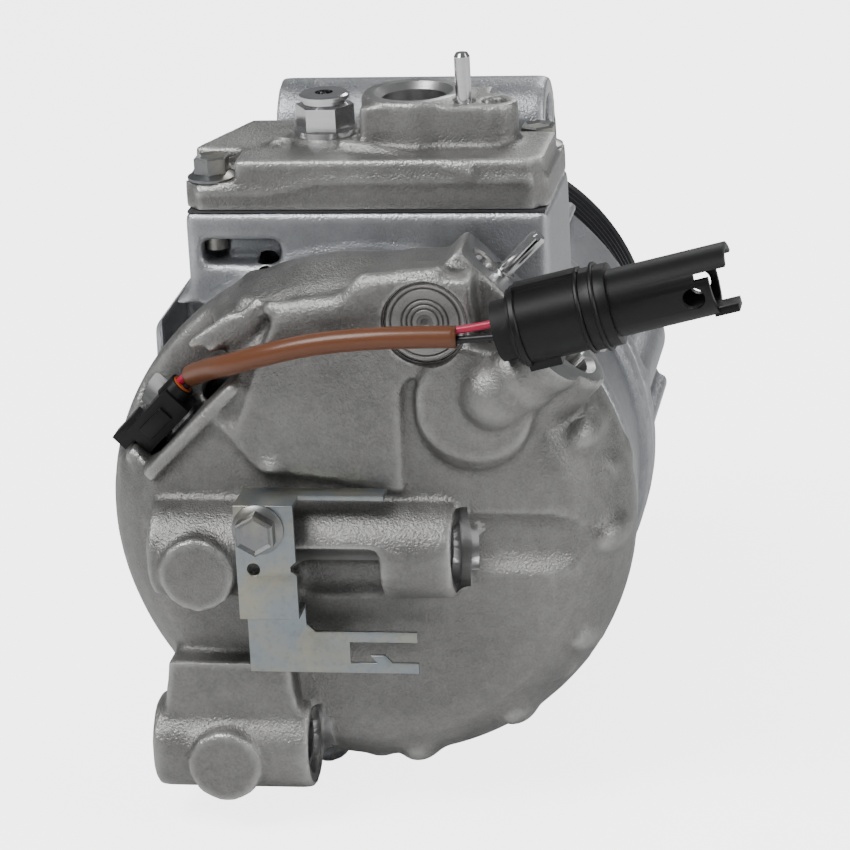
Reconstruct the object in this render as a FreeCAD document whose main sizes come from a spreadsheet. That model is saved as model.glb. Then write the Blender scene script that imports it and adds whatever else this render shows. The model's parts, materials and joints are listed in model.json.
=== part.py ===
"""Clutchless variable-displacement swash-plate compressor with seven pistons, for a car's air conditioning.

Millimetres. +Z is up, +Y runs along the drive shaft towards the pulley, and +X is to the right as seen
from the rear. The origin is on the shaft axis, in the middle plane of the belt.
"""

import FreeCAD, Part
import math
import os
import re
import Sketcher

doc = FreeCAD.newDocument("Compressor")
sheet = doc.addObject("Spreadsheet::Sheet", "sizes")

# ---------------------------------------------------------------- driving dimensions

SIZES = {
    # lengths along the shaft
    "housingFace": 18, "frontLength": 62, "blockLength": 43, "reedThickness": 0.4, "plateThickness": 2.4,
    "gasketThickness": 0.4, "headDepth": 27.4,
    # castings
    "bodyRadius": 64, "flangeRadius": 65.5, "headRadius": 66.5, "headRimRadius": 57.5, "crankcaseRadius": 57.4,
    "lugPlateRoom": 50, "frontWall": 5, "noseRadius": 17.5, "noseReach": 9.5, "shoulderRadius": 20,
    # cylinders
    "pistonCount": 7, "pistonPitch": 41, "cylinderRadius": 16.05, "pistonRadius": 16, "pistonHead": 35,
    "boltPitch": 58.2, "boltRadius": 3, "boltHead": 5.7, "boltHeadHeight": 5, "boltClearance": 0.15,
    "boltSeat": 30, "threadDepth": 9, "bossRadius": 7.5,
    # shaft train
    "shaftRadius": 8, "shaftNose": 6, "shaftRunning": 0.04, "needleRadius": 1.25, "needleRing": 2.2,
    "needleLength": 11, "plateStation": 74, "plateHalf": 5, "plateRadius": 48, "shoeRadius": 7,
    "shoeRunning": 0.05, "lugPlateThickness": 9.5, "lugPlateRadius": 47, "thrustGap": 3.5, "armHalfGap": 5.1,
    "armThickness": 6, "hingeHeight": 22, "hingeRadius": 3, "springWire": 2,
    # pulley and its bearing
    "pulleyRadius": 55, "pulleyWidth": 26, "grooveCount": 6, "groovePitch": 3.56, "grooveDepth": 3,
    "rimWall": 4, "bearingOuter": 27.5, "bearingWidth": 20, "bearingBack": 12.2, "ballRadius": 2.8,
    "ballCount": 15, "damperHubGap": 6.5, "damperRimGap": 5, "damperDepth": 9, "hubLip": 2,
    # mounting lugs, all bored along X
    "lugRadius": 12, "lugBore": 6.75, "bushBore": 5.3, "bushLength": 13,
    "frontLugBack": 22, "frontLugProud": 13, "frontLugLeft": 35, "frontLugRight": 37,
    "middleLugBack": 2, "middleLugDrop": 2, "middleLugLeft": 51, "middleLugRight": 25,
    "bottomLugAhead": 1, "bottomLugDrop": 55, "bottomLugLeft": 54, "bottomLugRight": 14,
    # top cover and its port
    "padProud": 10, "padHalf": 46, "padFoot": 56, "coverFlange": 7.5, "coverBody": 13, "coverGasket": 0.6, "coverSlant": 9, "coverSlantBack": 26,
    "portProud": 11.9, "portBore": 8.2, "portBoss": 13.4, "portRight": 10, "portBack": 18.7,
    "valveBoreRadius": 7.8, "valveSeatRadius": 6, "reliefLeft": 12.8, "reliefBehind": 1.3, "reliefHex": 6.5, "pinRadius": 2,
    "pinProud": 12.5, "pinDepth": 9, "portThread": 3, "portThreadDepth": 14,
    # rear port, turned a quarter of a right angle from level towards the upper right
    "rearPortProud": 3.5, "rearPortSide": 3.7, "rearPortAhead": 12, "rearPortDepth": 24,
    "portTurn": 45, "rearScrewSide": 24.5, "rearPinSide": 18.5,
    # control valve and its slot
    "slotAhead": 17.5, "slotDeep": 16.5, "slotLow": 25, "slotHigh": 11, "valveRadius": 7.5, "valveSide": 15,
    "valveBehind": 5.5, "valveLength": 29, "wireBehind": 5, "wireOut": 6.8,
    # pigtail
    "sleeveRadius": 2.75, "sleeveWall": 0.4, "wireRadius": 0.95, "plugRadius": 9.4, "plugTurn": 14,
    "plugStartX": 38.5, "plugStartY": -162.6, "plugStartZ": 56.4, "plugSeal": 4.5, "plugBodyLength": 18.5,
    "plugMateLength": 29,
    # bracket
    "bracketSheet": 1.2, "bracketBack": 16, "bracketBoltLeft": 21.4, "bracketBoltHeight": 8.6,
    "bracketStep": 8,
}

# Places that follow from the driving dimensions. A word here may use sizes and earlier words.
PLACES = {
    "innerFront": "-(housingFace + frontWall)",
    "damperInner": "bearingOuter + damperHubGap",
    "damperOuter": "pulleyRadius - grooveDepth - rimWall - damperRimGap",
    "damperPeg": "(damperOuter - damperInner) * 2.6 / 9",
    "hubRadius": "damperOuter + hubLip",
    "blockFront": "-(housingFace + frontLength)",
    "blockRear": "-(housingFace + frontLength + blockLength)",
    "plateFront": "-(housingFace + frontLength + blockLength + reedThickness)",
    "plateRear": "-(housingFace + frontLength + blockLength + reedThickness + plateThickness)",
    "gasketFront": "-(housingFace + frontLength + blockLength + 2 * reedThickness + plateThickness)",
    "headFront": "-(housingFace + frontLength + blockLength + 2 * reedThickness + plateThickness"
                 " + gasketThickness)",
    "headRear": "headFront - headDepth",
    "lugPlateFront": "innerFront - thrustGap",
    "lugPlateRear": "innerFront - thrustGap - lugPlateThickness",
    "plateY": "-plateStation",
    "boltEnd": "headFront - threadDepth",
    "coverBase": "padHeight + coverGasket",
    "coverTop": "padHeight + coverGasket + coverBody",
    "flangeTop": "padHeight + coverGasket + coverFlange",
    "padHeight": "bodyRadius + padProud",
    "portTop": "coverTop + portProud",
    "portStation": "-blockFront + portBack",
    "reliefStation": "portStation + reliefBehind",
    "frontLugStation": "innerFrontBack + frontLugBack",
    "innerFrontBack": "housingFace + frontWall",
    "frontLugHeight": "bodyRadius + frontLugProud",
    "middleLugStation": "-headRear + middleLugBack",
    "bottomLugStation": "-headRear - bottomLugAhead",
    "rearPortFace": "headRadius + rearPortProud",
    "rearPortStation": "-headRear - rearPortAhead",
    "slotBack": "-headRear - slotAhead",
    "slotInner": "headRadius - slotDeep",
    "valveStation": "slotBack + valveBehind",
    "valveInner": "slotInner - valveLength",
    "wireStation": "slotBack + wireBehind",
    "wireRadial": "slotInner + wireOut",
    "bracketStation": "-headRear + bracketBack",
}

WORD = re.compile(r"[A-Za-z]\w*")


def bound(text):
    """An expression on the sheet's cells, from one written in plain size and place words."""
    def swap(found):
        word = found.group(0)
        if word in SIZES:
            return "sizes." + word
        if word in PLACES:
            return "(" + bound(PLACES[word]) + ")"
        return word
    return WORD.sub(swap, str(text))


def fillSheet():
    for row, (alias, size) in enumerate(SIZES.items(), start=1):
        sheet.set(f"A{row}", alias)
        sheet.set(f"B{row}", str(size))
        sheet.setAlias(f"B{row}", alias)
    doc.recompute()


def number(text):
    """The present value of an expression, for a first guess that the binding then replaces."""
    return float(sheet.evalExpression(bound(text)))


# ---------------------------------------------------------------- building helpers

X, Y, Z = FreeCAD.Vector(1, 0, 0), FreeCAD.Vector(0, 1, 0), FreeCAD.Vector(0, 0, 1)
AXES = {"X": X, "Y": Y, "Z": Z}


def place(obj, at, rotation):
    """Puts obj at a bound point."""
    obj.Placement = FreeCAD.Placement(FreeCAD.Vector(0, 0, 0), rotation)
    for letter, text in zip("xyz", at):
        obj.setExpression("Placement.Base." + letter, bound(text))
    return obj


def direction(along):
    return AXES[along] if isinstance(along, str) else FreeCAD.Vector(*along)


def rod(name, radius, length, at=(0, 0, 0), along="Y"):
    """A cylinder from a point, along an axis letter or a direction."""
    obj = doc.addObject("Part::Cylinder", name)
    obj.setExpression("Radius", bound(radius))
    obj.setExpression("Height", bound(length))
    return place(obj, at, FreeCAD.Rotation(Z, direction(along)))


def cone(name, start, end, length, at=(0, 0, 0), along="Y"):
    obj = doc.addObject("Part::Cone", name)
    obj.setExpression("Radius1", bound(start))
    obj.setExpression("Radius2", bound(end))
    obj.setExpression("Height", bound(length))
    return place(obj, at, FreeCAD.Rotation(Z, direction(along)))


def hexRod(name, halfFlats, length, at, along="Y"):
    obj = doc.addObject("Part::Prism", name)
    obj.Polygon = 6
    obj.setExpression("Circumradius", bound(f"({halfFlats}) / cos(30 deg)"))
    obj.setExpression("Height", bound(length))
    return place(obj, at, FreeCAD.Rotation(Z, direction(along)))


def ball(name, radius, at):
    obj = doc.addObject("Part::Sphere", name)
    obj.setExpression("Radius", bound(radius))
    return place(obj, at, FreeCAD.Rotation())


def ring(name, major, minor, at, along="Y"):
    obj = doc.addObject("Part::Torus", name)
    obj.setExpression("Radius1", bound(major))
    obj.setExpression("Radius2", bound(minor))
    return place(obj, at, FreeCAD.Rotation(Z, direction(along)))


def block(name, low, high, turn=None):
    """A box between two corners, or between two corners in axes turned by the rotation turn."""
    obj = doc.addObject("Part::Box", name)
    for side, a, b in zip(("Length", "Width", "Height"), low, high):
        obj.setExpression(side, bound(f"({b}) - ({a})"))
    if turn is None:
        return place(obj, low, FreeCAD.Rotation())
    return place(obj, turned(low, turn), turn)


def turned(at, turn):
    """A bound point given in axes turned by the rotation turn, as a point in the part's frame."""
    columns = [turn.multVec(axis) for axis in (X, Y, Z)]
    return tuple(
        " + ".join(f"({column[row]:.9f}) * ({text})" for column, text in zip(columns, at)) for row in range(3)
    )


def profile(body, points, plane="XY_Plane"):
    """A closed sketch on the body's own plane, with every corner bound to the sheet."""
    sketch = body.newObject("Sketcher::SketchObject", body.Name + "Sketch")
    support = next(o for o in body.Origin.OriginFeatures if o.Role == plane)
    sketch.AttachmentSupport = [(support, "")]
    sketch.MapMode = "FlatFace"
    corners = [FreeCAD.Vector(number(a), number(b), 0) for a, b in points]
    count = len(corners)
    for index in range(count):
        sketch.addGeometry(Part.LineSegment(corners[index], corners[(index + 1) % count]), False)
    for index in range(count):
        sketch.addConstraint(Sketcher.Constraint("Coincident", index, 2, (index + 1) % count, 1))
    for index, (a, b) in enumerate(points):
        for kind, text in (("DistanceX", a), ("DistanceY", b)):
            made = sketch.addConstraint(Sketcher.Constraint(kind, -1, 1, index, 1, number(text)))
            sketch.setExpression(f"Constraints[{made}]", bound(text))
    return sketch


def lathe(name, points, at=(0, 0, 0), along="Y"):
    """A body turned about an axis, from (radius, distance along the axis) corners."""
    body = doc.addObject("PartDesign::Body", name)
    sketch = profile(body, points)
    turn = body.newObject("PartDesign::Revolution", name + "Turn")
    turn.Profile = sketch
    turn.ReferenceAxis = (sketch, ["V_Axis"])
    turn.Angle = 360
    return place(body, at, FreeCAD.Rotation(Y, direction(along)))


SPREADS = {
    "X": FreeCAD.Rotation(FreeCAD.Vector(1, 1, 1), 120),
    "Y": FreeCAD.Rotation(X, 90),
    "Z": FreeCAD.Rotation(),
}


def plate(name, points, length, start, along):
    """A body padded from an outline. Along X the outline is in (Y, Z) and it grows towards +X, along Z it is
    in (X, Y) and grows towards +Z, and along Y it is in (X, Z) and grows towards -Y."""
    body = doc.addObject("PartDesign::Body", name)
    sketch = profile(body, points)
    pad = body.newObject("PartDesign::Pad", name + "Pad")
    pad.Profile = sketch
    pad.setExpression("Length", bound(length))
    at = {"X": (start, 0, 0), "Y": (0, start, 0), "Z": (0, 0, start)}[along]
    return place(body, at, SPREADS[along])


def join(name, *pieces):
    obj = doc.addObject("Part::MultiFuse", name)
    obj.Shapes = list(pieces)
    return obj


def group(name, pieces):
    """Separate solids that share one node."""
    obj = doc.addObject("Part::Compound", name)
    obj.Links = list(pieces)
    return obj


def cut(name, base, *tools):
    obj = doc.addObject("Part::Cut", name)
    obj.Base = base
    obj.Tool = tools[0] if len(tools) == 1 else join(name + "Tools", *tools)
    return obj


def common(name, *pieces):
    obj = doc.addObject("Part::MultiCommon", name)
    obj.Shapes = list(pieces)
    return obj


NODES = []


def node(name, obj):
    """Names a finished sub-part, which is written to its own file."""
    obj.Label = name
    NODES.append(obj)
    return obj


def polar(pitch, step, count, offset=0):
    """A bound (x, z) on a circle about the shaft, counted clockwise from the top."""
    angle = f"({offset} + {step} * 360 / ({count})) * 1 deg"
    return f"({pitch}) * sin({angle})", f"({pitch}) * cos({angle})"


PISTONS = int(SIZES["pistonCount"])
BOLT_OFFSET = "180 / pistonCount"


# ---------------------------------------------------------------- castings


def makeFrontHousing():
    outer = lathe("frontOuter", [
        ("1", "noseReach"), ("noseRadius", "noseReach"), ("noseRadius", "-bearingBack"),
        ("shoulderRadius", "-bearingBack"), ("shoulderRadius", "-housingFace"), ("46", "-housingFace"),
        ("bodyRadius - 3", "-(housingFace + 9)"), ("bodyRadius - 3", "blockFront + 8"),
        ("flangeRadius", "blockFront + 7"), ("flangeRadius", "blockFront"), ("1", "blockFront"),
    ])
    inner = lathe("frontInner", [
        ("0", "noseReach + 1"), ("13.5", "noseReach + 1"), ("13.5", "-5"), ("shaftRadius + 1", "-5"),
        ("shaftRadius + 1", "innerFront + needleLength + 3"),
        ("shaftRadius + 2 * needleRadius + needleRing + 0.1", "innerFront + needleLength + 3"),
        ("shaftRadius + 2 * needleRadius + needleRing + 0.1", "innerFront"), ("lugPlateRoom", "innerFront"),
        ("lugPlateRoom", "-(boltSeat + 6)"), ("crankcaseRadius", "-(boltSeat + 6)"),
        ("crankcaseRadius", "blockFront - 1"), ("0", "blockFront - 1"),
    ])
    solids = [outer]
    tools = [inner]
    for step in range(PISTONS):
        x, z = polar("boltPitch", step, "pistonCount", BOLT_OFFSET)
        solids.append(rod(f"frontBoss{step}", "bossRadius", "frontLength - boltSeat + housingFace",
                          (x, "blockFront", z)))
        tools.append(rod(f"frontBoltHole{step}", "boltRadius + boltClearance", "frontLength",
                         (x, "blockFront - 1", z)))
        tools.append(rod(f"frontBoltSeat{step}", "boltHead + 0.8", "boltSeat", (x, "-boltSeat", z)))
    for step in range(14):
        turn = FreeCAD.Rotation(Y, 12.857 + step * 360 / 14)
        solids.append(block(f"frontRib{step}", ("-1.6", "blockFront + 4", "crankcaseRadius - 2"),
                            ("1.6", "-(housingFace + 12)", "bodyRadius + 0.5"), turn))
    lug = rod("frontLugTube", "lugRadius", "frontLugLeft + frontLugRight",
              ("-frontLugLeft", "-frontLugStation", "frontLugHeight"), "X")
    web = block("frontLugWeb", ("-frontLugLeft + 3", "-frontLugStation - 6", "bodyRadius - 14"),
                ("frontLugRight - 3", "-frontLugStation + 6", "frontLugHeight - 6"))
    left = block("frontLugLeftRib", ("-frontLugLeft", "-frontLugStation - 12", "bodyRadius - 16"),
                 ("-frontLugLeft + 9", "-frontLugStation + 12", "frontLugHeight"))
    right = block("frontLugRightRib", ("frontLugRight - 9", "-frontLugStation - 12", "bodyRadius - 16"),
                  ("frontLugRight", "-frontLugStation + 12", "frontLugHeight"))
    tools.append(rod("frontLugHole", "lugBore", "frontLugLeft + frontLugRight + 2",
                     ("-frontLugLeft - 1", "-frontLugStation", "frontLugHeight"), "X"))
    body = join("frontSolid", *solids, lug, web, left, right)
    node("front_housing", cut("frontHousing", body, *tools))


def makeCylinderBlock():
    outer = lathe("blockOuter", [
        ("0", "blockFront"), ("flangeRadius", "blockFront"), ("flangeRadius", "blockFront - 7"),
        ("bodyRadius - 1", "blockFront - 9"), ("bodyRadius - 1", "blockRear + 9"),
        ("flangeRadius", "blockRear + 7"), ("flangeRadius", "blockRear"), ("0", "blockRear"),
    ])
    pad = plate("blockPad", [
        ("-padHalf", "padHeight"), ("-padHalf", "padHeight - 19"), ("-padFoot", "padHeight - 30"),
        ("-padFoot", "20"), ("padHalf", "20"), ("padHalf", "padHeight"),
    ], "blockLength - 2", "blockFront - 1", "Y")
    ear = rod("blockDrainBoss", "7", "14", ("-18", "blockRear", "-(bodyRadius + 4)"))
    earWeb = block("blockDrainWeb", ("-25", "blockRear", "-(bodyRadius + 4)"), ("-11", "blockRear + 14", "-50"))
    tools = [
        rod("blockCentre", "shaftRadius + 2 * needleRadius + needleRing + 0.1", "blockLength - 8",
            (0, "blockRear - 1", 0)),
        rod("blockCentreFront", "15.5", "12", (0, "blockFront - 10", 0)),
        block("muffler", ("-34", "blockRear + 8", "61.5"), ("30", "blockFront - 8", "padHeight + 1")),
        block("padWindow", ("-42", "blockRear - 1", "60.5"), ("-22", "blockRear + 7", "67")),
        block("padUndercut", ("-53.5", "blockRear - 1", "33"), ("-40.5", "blockRear + 30", "50")),
        rod("drainHole", "2.6", "10", ("-18", "blockRear - 1", "-(bodyRadius + 4)")),
        rod("dischargePassage", "3", "16", ("-26", "blockRear - 1", "56"), (0, 1, 0.35)),
    ]
    for step in range(PISTONS):
        x, z = polar("pistonPitch", step, "pistonCount")
        tools.append(rod(f"cylinder{step}", "cylinderRadius", "blockLength + 2", (x, "blockRear - 1", z)))
        x, z = polar("boltPitch", step, "pistonCount", BOLT_OFFSET)
        tools.append(rod(f"blockBoltHole{step}", "boltRadius + boltClearance", "blockLength + 2",
                         (x, "blockRear - 1", z)))
    for index, (x, y) in enumerate(coverBoltPlaces()):
        tools.append(rod(f"padThread{index}", "boltRadius + 0.05", "14", (x, y, "padHeight - 13"), "Z"))
    body = join("blockSolid", outer, pad, ear, earWeb)
    node("cylinder_block", cut("cylinderBlock", body, *tools))


def coverBoltPlaces():
    return [("-padHalf + 6.5", "blockRear + 7.5"), ("padHalf - 6.5", "blockFront - 7.5")]


def makeTopCover():
    rear, front = "blockRear + 1", "blockFront - 1"
    flange = plate("coverPlate", [
        ("-padHalf + 4", rear), ("padHalf - 4", rear), ("padHalf", "blockRear + 5"),
        ("padHalf", "blockFront - 5"), ("padHalf - 4", front), ("-padHalf + coverSlant", front),
        ("-padHalf", "blockFront - coverSlantBack"), ("-padHalf", "blockRear + 5"),
    ], "coverFlange", "coverBase", "Z")
    raised = plate("coverRaised", [
        ("-padHalf + 13.5", rear), ("padHalf - 5", rear), ("padHalf - 1", "blockRear + 5"),
        ("padHalf - 1", "blockFront - 14.5"), ("padHalf - 13.5", "blockFront - 13.5"),
        ("padHalf - 13.5", front), ("-padHalf + coverSlant + 1", front),
        ("-padHalf + 1", "blockFront - coverSlantBack"),
        ("-padHalf + 1", "blockRear + 14.5"), ("-padHalf + 13.5", "blockRear + 13.5"),
    ], "coverBody", "coverBase", "Z")
    boss = rod("portBossTop", "portBoss", "portTop - coverTop + 3", ("portRight", "-portStation",
                                                                    "coverTop - 3"), "Z")
    tower = block("portTower", ("portRight - portBoss + 1", "-portStation - 12", "coverTop - 3"),
                  ("portRight + 19", "-portStation + 9", "portTop - 1.4"))
    nose = rod("portTowerNose", "7", "portTop - coverTop + 1.6",
               ("portRight + 20", "-portStation - 5", "coverTop - 3"), "Z")
    relief = rod("reliefBoss", "9", "4.5", ("-reliefLeft", "-reliefStation", "coverTop - 3"), "Z")
    tab = block("coverTab", ("-reliefLeft - 13", "-reliefStation - 8", "coverTop - 1"),
                ("-reliefLeft - 9", "-reliefStation - 5", "coverTop + 2"))
    tools = [
        block("coverRoom", ("-31", "blockRear + 9", "coverBase - 1"), ("30", "blockFront - 9", "coverBase + 3.4")),
        rod("coverPort", "valveBoreRadius", "portTop", ("portRight", "-portStation", "coverBase + 1"), "Z"),
        rod("coverPortMouth", "portBore", "portTop", ("portRight", "-portStation", "coverBase + 14.5"), "Z"),
        rod("coverRelief", "5", "30", ("-reliefLeft", "-reliefStation", "coverBase + 1"), "Z"),
        rod("coverPinHole", "pinRadius + 0.1", "pinDepth + 4", ("portRight + 13.6", "-portStation - 6.5",
                                                        "portTop - 1.4 - pinDepth"), "Z"),
        rod("coverPortThread", "portThread", "portThreadDepth + 1",
            ("portRight + 21", "-portStation - 5", "portTop - 1.4 - portThreadDepth"), "Z"),
    ]
    for index, (x, y) in enumerate(coverBoltPlaces()):
        tools.append(rod(f"coverBoltHole{index}", "boltRadius + boltClearance", "30",
                         (x, y, "coverBase - 1"), "Z"))
        tools.append(rod(f"coverBoltSeat{index}", "6.6", "20", (x, y, "flangeTop - 0.6"), "Z"))
    body = join("coverSolid", flange, raised, boss, tower, nose, relief, tab)
    node("top_cover", cut("topCover", body, *tools))
    gasket = plate("coverGasketSheet", [
        ("-padHalf + 0.8", "blockRear + 1.8"), ("padHalf - 0.8", "blockRear + 1.8"),
        ("padHalf - 0.8", "blockFront - 1.8"), ("-padHalf + coverSlant + 0.8", "blockFront - 1.8"),
        ("-padHalf + 0.8", "blockFront - coverSlantBack - 0.8"),
    ], "coverGasket", "padHeight", "Z")
    openings = [
        block("coverGasketRoom", ("-34", "blockRear + 8", "padHeight - 1"),
              ("30", "blockFront - 8", "coverBase + 1")),
    ]
    for index, (x, y) in enumerate(coverBoltPlaces()):
        openings.append(rod(f"coverGasketHole{index}", "boltRadius + boltClearance", "3",
                            (x, y, "padHeight - 1"), "Z"))
    node("cover_gasket", cut("coverGasketCut", gasket, *openings))


def rearPortTurn():
    """Turns a box's X to run down along the face, and its Z out of the port."""
    return FreeCAD.Rotation(Y, SIZES["portTurn"])


def makeRearHousing():
    dome = lathe("headDome", [
        ("0", "headFront"), ("headRadius", "headFront"), ("headRadius", "headFront - 7"),
        ("headRadius - 3.5", "headFront - 16"), ("headRimRadius + 1", "headRear + 5"),
        ("headRimRadius - 3", "headRear + 1.5"), ("headRimRadius - 8", "headRear"), ("0", "headRear"),
    ])
    turn = rearPortTurn()
    out = (math.sin(math.radians(SIZES["portTurn"])), 0, math.cos(math.radians(SIZES["portTurn"])))
    solids = [dome]
    # port block: it stands on the dome and carries the port's boss, a screw hole and a pin
    solids.append(block("portBlock", ("-32", "-rearPortStation - 5", "34"),
                        ("rearPortSide - 4", "headFront - 1", "rearPortFace"), turn))
    solids.append(rod("portBarrel", "portBoss", "20",
                      turned(("rearPortSide", "-rearPortStation", "rearPortFace - 20"), turn), out))
    solids.append(ball("portBarrelEnd", "portBoss",
                       turned(("rearPortSide", "-rearPortStation", "rearPortFace - 20"), turn)))
    solids.append(rod("lobe", "14.3", "12", ("30.6", "headRear - 2.6", "33")))
    # raised field left of the lobe, stepping down to the middle lug
    solids.append(plate("raisedField", [
        ("-23", "18.5"), ("12", "12.5"), ("13", "40"), ("17", "44"), ("31", "44"), ("31", "67"), ("14", "67.5"),
        ("4", "65.5"), ("0", "61.5"), ("-17", "58.5"), ("-20", "52"), ("-30", "27"),
    ], "headDepth + 1.4", "headFront - 1", "Y"))
    # middle lug with its web, disc boss and bottom lug with its neck
    solids.append(rod("middleTube", "lugRadius", "middleLugLeft + middleLugRight",
                      ("-middleLugLeft", "-middleLugStation", "-middleLugDrop"), "X"))
    solids.append(block("middleWeb", ("-middleLugLeft + 4", "-middleLugStation", "-middleLugDrop - lugRadius"),
                        ("middleLugRight - 4", "headRear + 8", "-middleLugDrop + lugRadius")))
    solids.append(rod("middleDisc", "9.6", "18", ("-38", "-middleLugStation - 14", "-middleLugDrop - 2.5")))
    solids.append(rod("bottomTube", "lugRadius", "bottomLugLeft - bottomLugRight",
                      ("-bottomLugLeft", "-bottomLugStation", "-bottomLugDrop"), "X"))
    solids.append(plate("bottomNeck", [
        ("-bottomLugLeft + 1", "-bottomLugDrop - 4"), ("-bottomLugRight - 1", "-bottomLugDrop - 4"),
        ("-bottomLugRight - 4", "-bottomLugDrop + 24"), ("-bottomLugLeft + 5", "-bottomLugDrop + 24"),
    ], "20", "headRear + 13", "Y"))
    solids.append(rod("bottomDisc", "9.4", "18", ("-35", "-bottomLugStation - 14", "-bottomLugDrop - 2")))
    solids.append(rod("endBoss", "12.4", "12", ("19.6", "headRear - 1", "56.2")))
    # round bosses along the rim, over the bolts, and a low ring on the right
    for step in range(PISTONS):
        x, z = polar("boltPitch + 1.2", step, "pistonCount", BOLT_OFFSET)
        solids.append(cone(f"headBoss{step}", "bossRadius + 0.8", "bossRadius - 2.6", "16", (x, "headFront", z),
                           (0, -1, 0)))
    solids.append(block("slotRib", ("-slotLow - 4.5", "-slotBack - 12", "slotInner - 3.5"),
                        ("-slotLow", "-slotBack + 2", "slotInner + 5.5"), slotTurn()))
    solids.append(block("slotWall", ("-slotLow - 1", "headRear - 2", "slotInner - 3.5"),
                        ("slotHigh - 3", "-slotBack + 2", "slotInner"), slotTurn()))
    solids.append(rod("bracketBoss", "4.6", "bracketBack - 3", ("-bracketBoltLeft", "-bracketStation", "bracketBoltHeight")))
    tools = [
        cut("suctionRing", rod("suctionOuter", "52", "17", (0, "headFront - 16", 0)),
            rod("suctionInner", "31", "20", (0, "headFront - 18", 0)),
            rod("valveWall", "valveRadius + 2.5", "60",
                turned(("-valveSide", "-valveStation", "valveInner - 4"), slotTurn()), slotOut())),
        rod("dischargeRoom", "26.5", "16", (0, "headFront - 15", 0)),
        rod("middleBore", "lugBore", "middleLugLeft + middleLugRight + 2",
            ("-middleLugLeft - 1", "-middleLugStation", "-middleLugDrop"), "X"),
        rod("bottomBore", "lugBore", "bottomLugLeft - bottomLugRight + 2",
            ("-bottomLugLeft - 1", "-bottomLugStation", "-bottomLugDrop"), "X"),
        cone("middleMouth", "lugBore + 1.9", "lugBore", "1.9",
             ("middleLugRight", "-middleLugStation", "-middleLugDrop"), (-1, 0, 0)),
        cone("bottomMouth", "lugBore + 1.9", "lugBore", "1.9",
             ("-bottomLugRight", "-bottomLugStation", "-bottomLugDrop"), (-1, 0, 0)),
        block("lugPocket", ("-15.5", "-middleLugStation - 20", "-14.5"), ("7", "-middleLugStation + 4", "1.5")),
        rod("toolRun", "10.5", "42", ("middleLugRight", "-middleLugStation - 5", "-middleLugDrop + 1"), "X"),
        block("slot", ("-slotLow", "-slotBack - 40", "slotInner"), ("slotHigh", "-slotBack", "slotInner + 40"),
              slotTurn()),
        block("slotRelief", ("-slotLow - 15", "-slotBack - 40", "slotInner + 5.5"),
              ("-slotLow + 1", "-slotBack", "slotInner + 40"), slotTurn()),
        rod("valveBore", "valveRadius", "80", turned(("-valveSide", "-valveStation", "valveInner"), slotTurn()),
            slotOut()),
        rod("rearPortBore", "valveBoreRadius", "rearPortDepth + 1",
            turned(("rearPortSide", "-rearPortStation", "rearPortFace - rearPortDepth"), turn), out),
        rod("rearPortMouth", "portBore", "rearPortDepth - 9",
            turned(("rearPortSide", "-rearPortStation", "rearPortFace - rearPortDepth + 10"), turn), out),
        rod("rearPortThroat", "5.5", "30",
            turned(("rearPortSide", "-rearPortStation", "rearPortFace - rearPortDepth - 14"), turn), out),
        rod("rearPortPassage", "5.5", "15", turned(("rearPortSide", "-rearPortStation",
                                                    "rearPortFace - rearPortDepth - 8"), turn)),
        block("faceTrim", ("-60", "headRear - 40", "rearPortFace"), ("60", "headFront + 1", "rearPortFace + 30"),
              turn),
        rod("rearScrewHole", "portThread", "portThreadDepth + 1",
            turned(("-rearScrewSide", "-rearPortStation + 5", "rearPortFace - portThreadDepth"), turn), out),
        rod("rearPinHole", "pinRadius + 0.1", "pinDepth + 1",
            turned(("-rearPinSide", "-rearPortStation + 9.5", "rearPortFace - pinDepth"), turn), out),
        rod("endPlugBore", "10.2", "8", ("19.6", "headRear - 1.6", "56.2")),
        rod("bracketThread", "boltRadius + 0.05", "14",
            ("-bracketBoltLeft", "-bracketStation - 1", "bracketBoltHeight")),
    ]
    for step in range(PISTONS):
        x, z = polar("boltPitch", step, "pistonCount", BOLT_OFFSET)
        tools.append(rod(f"headBoltHole{step}", "boltRadius + 0.05", "threadDepth + 1",
                         (x, "boltEnd - 0.5", z)))
    shell = cut("headShell", join("headSolid", *solids), *tools)
    behind = rod("headRoom", "120", "80", (0, "headFront - 80", 0))
    node("rear_housing", common("rearHousing", shell, behind))


def slotTurn():
    """Turns X along the slot's chord, upwards to the right, and Z outwards to the upper left."""
    return FreeCAD.Rotation(Y, -45)


def slotOut():
    direct = slotTurn().multVec(Z)
    return (direct.x, direct.y, direct.z)


# ---------------------------------------------------------------- between the castings


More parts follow.
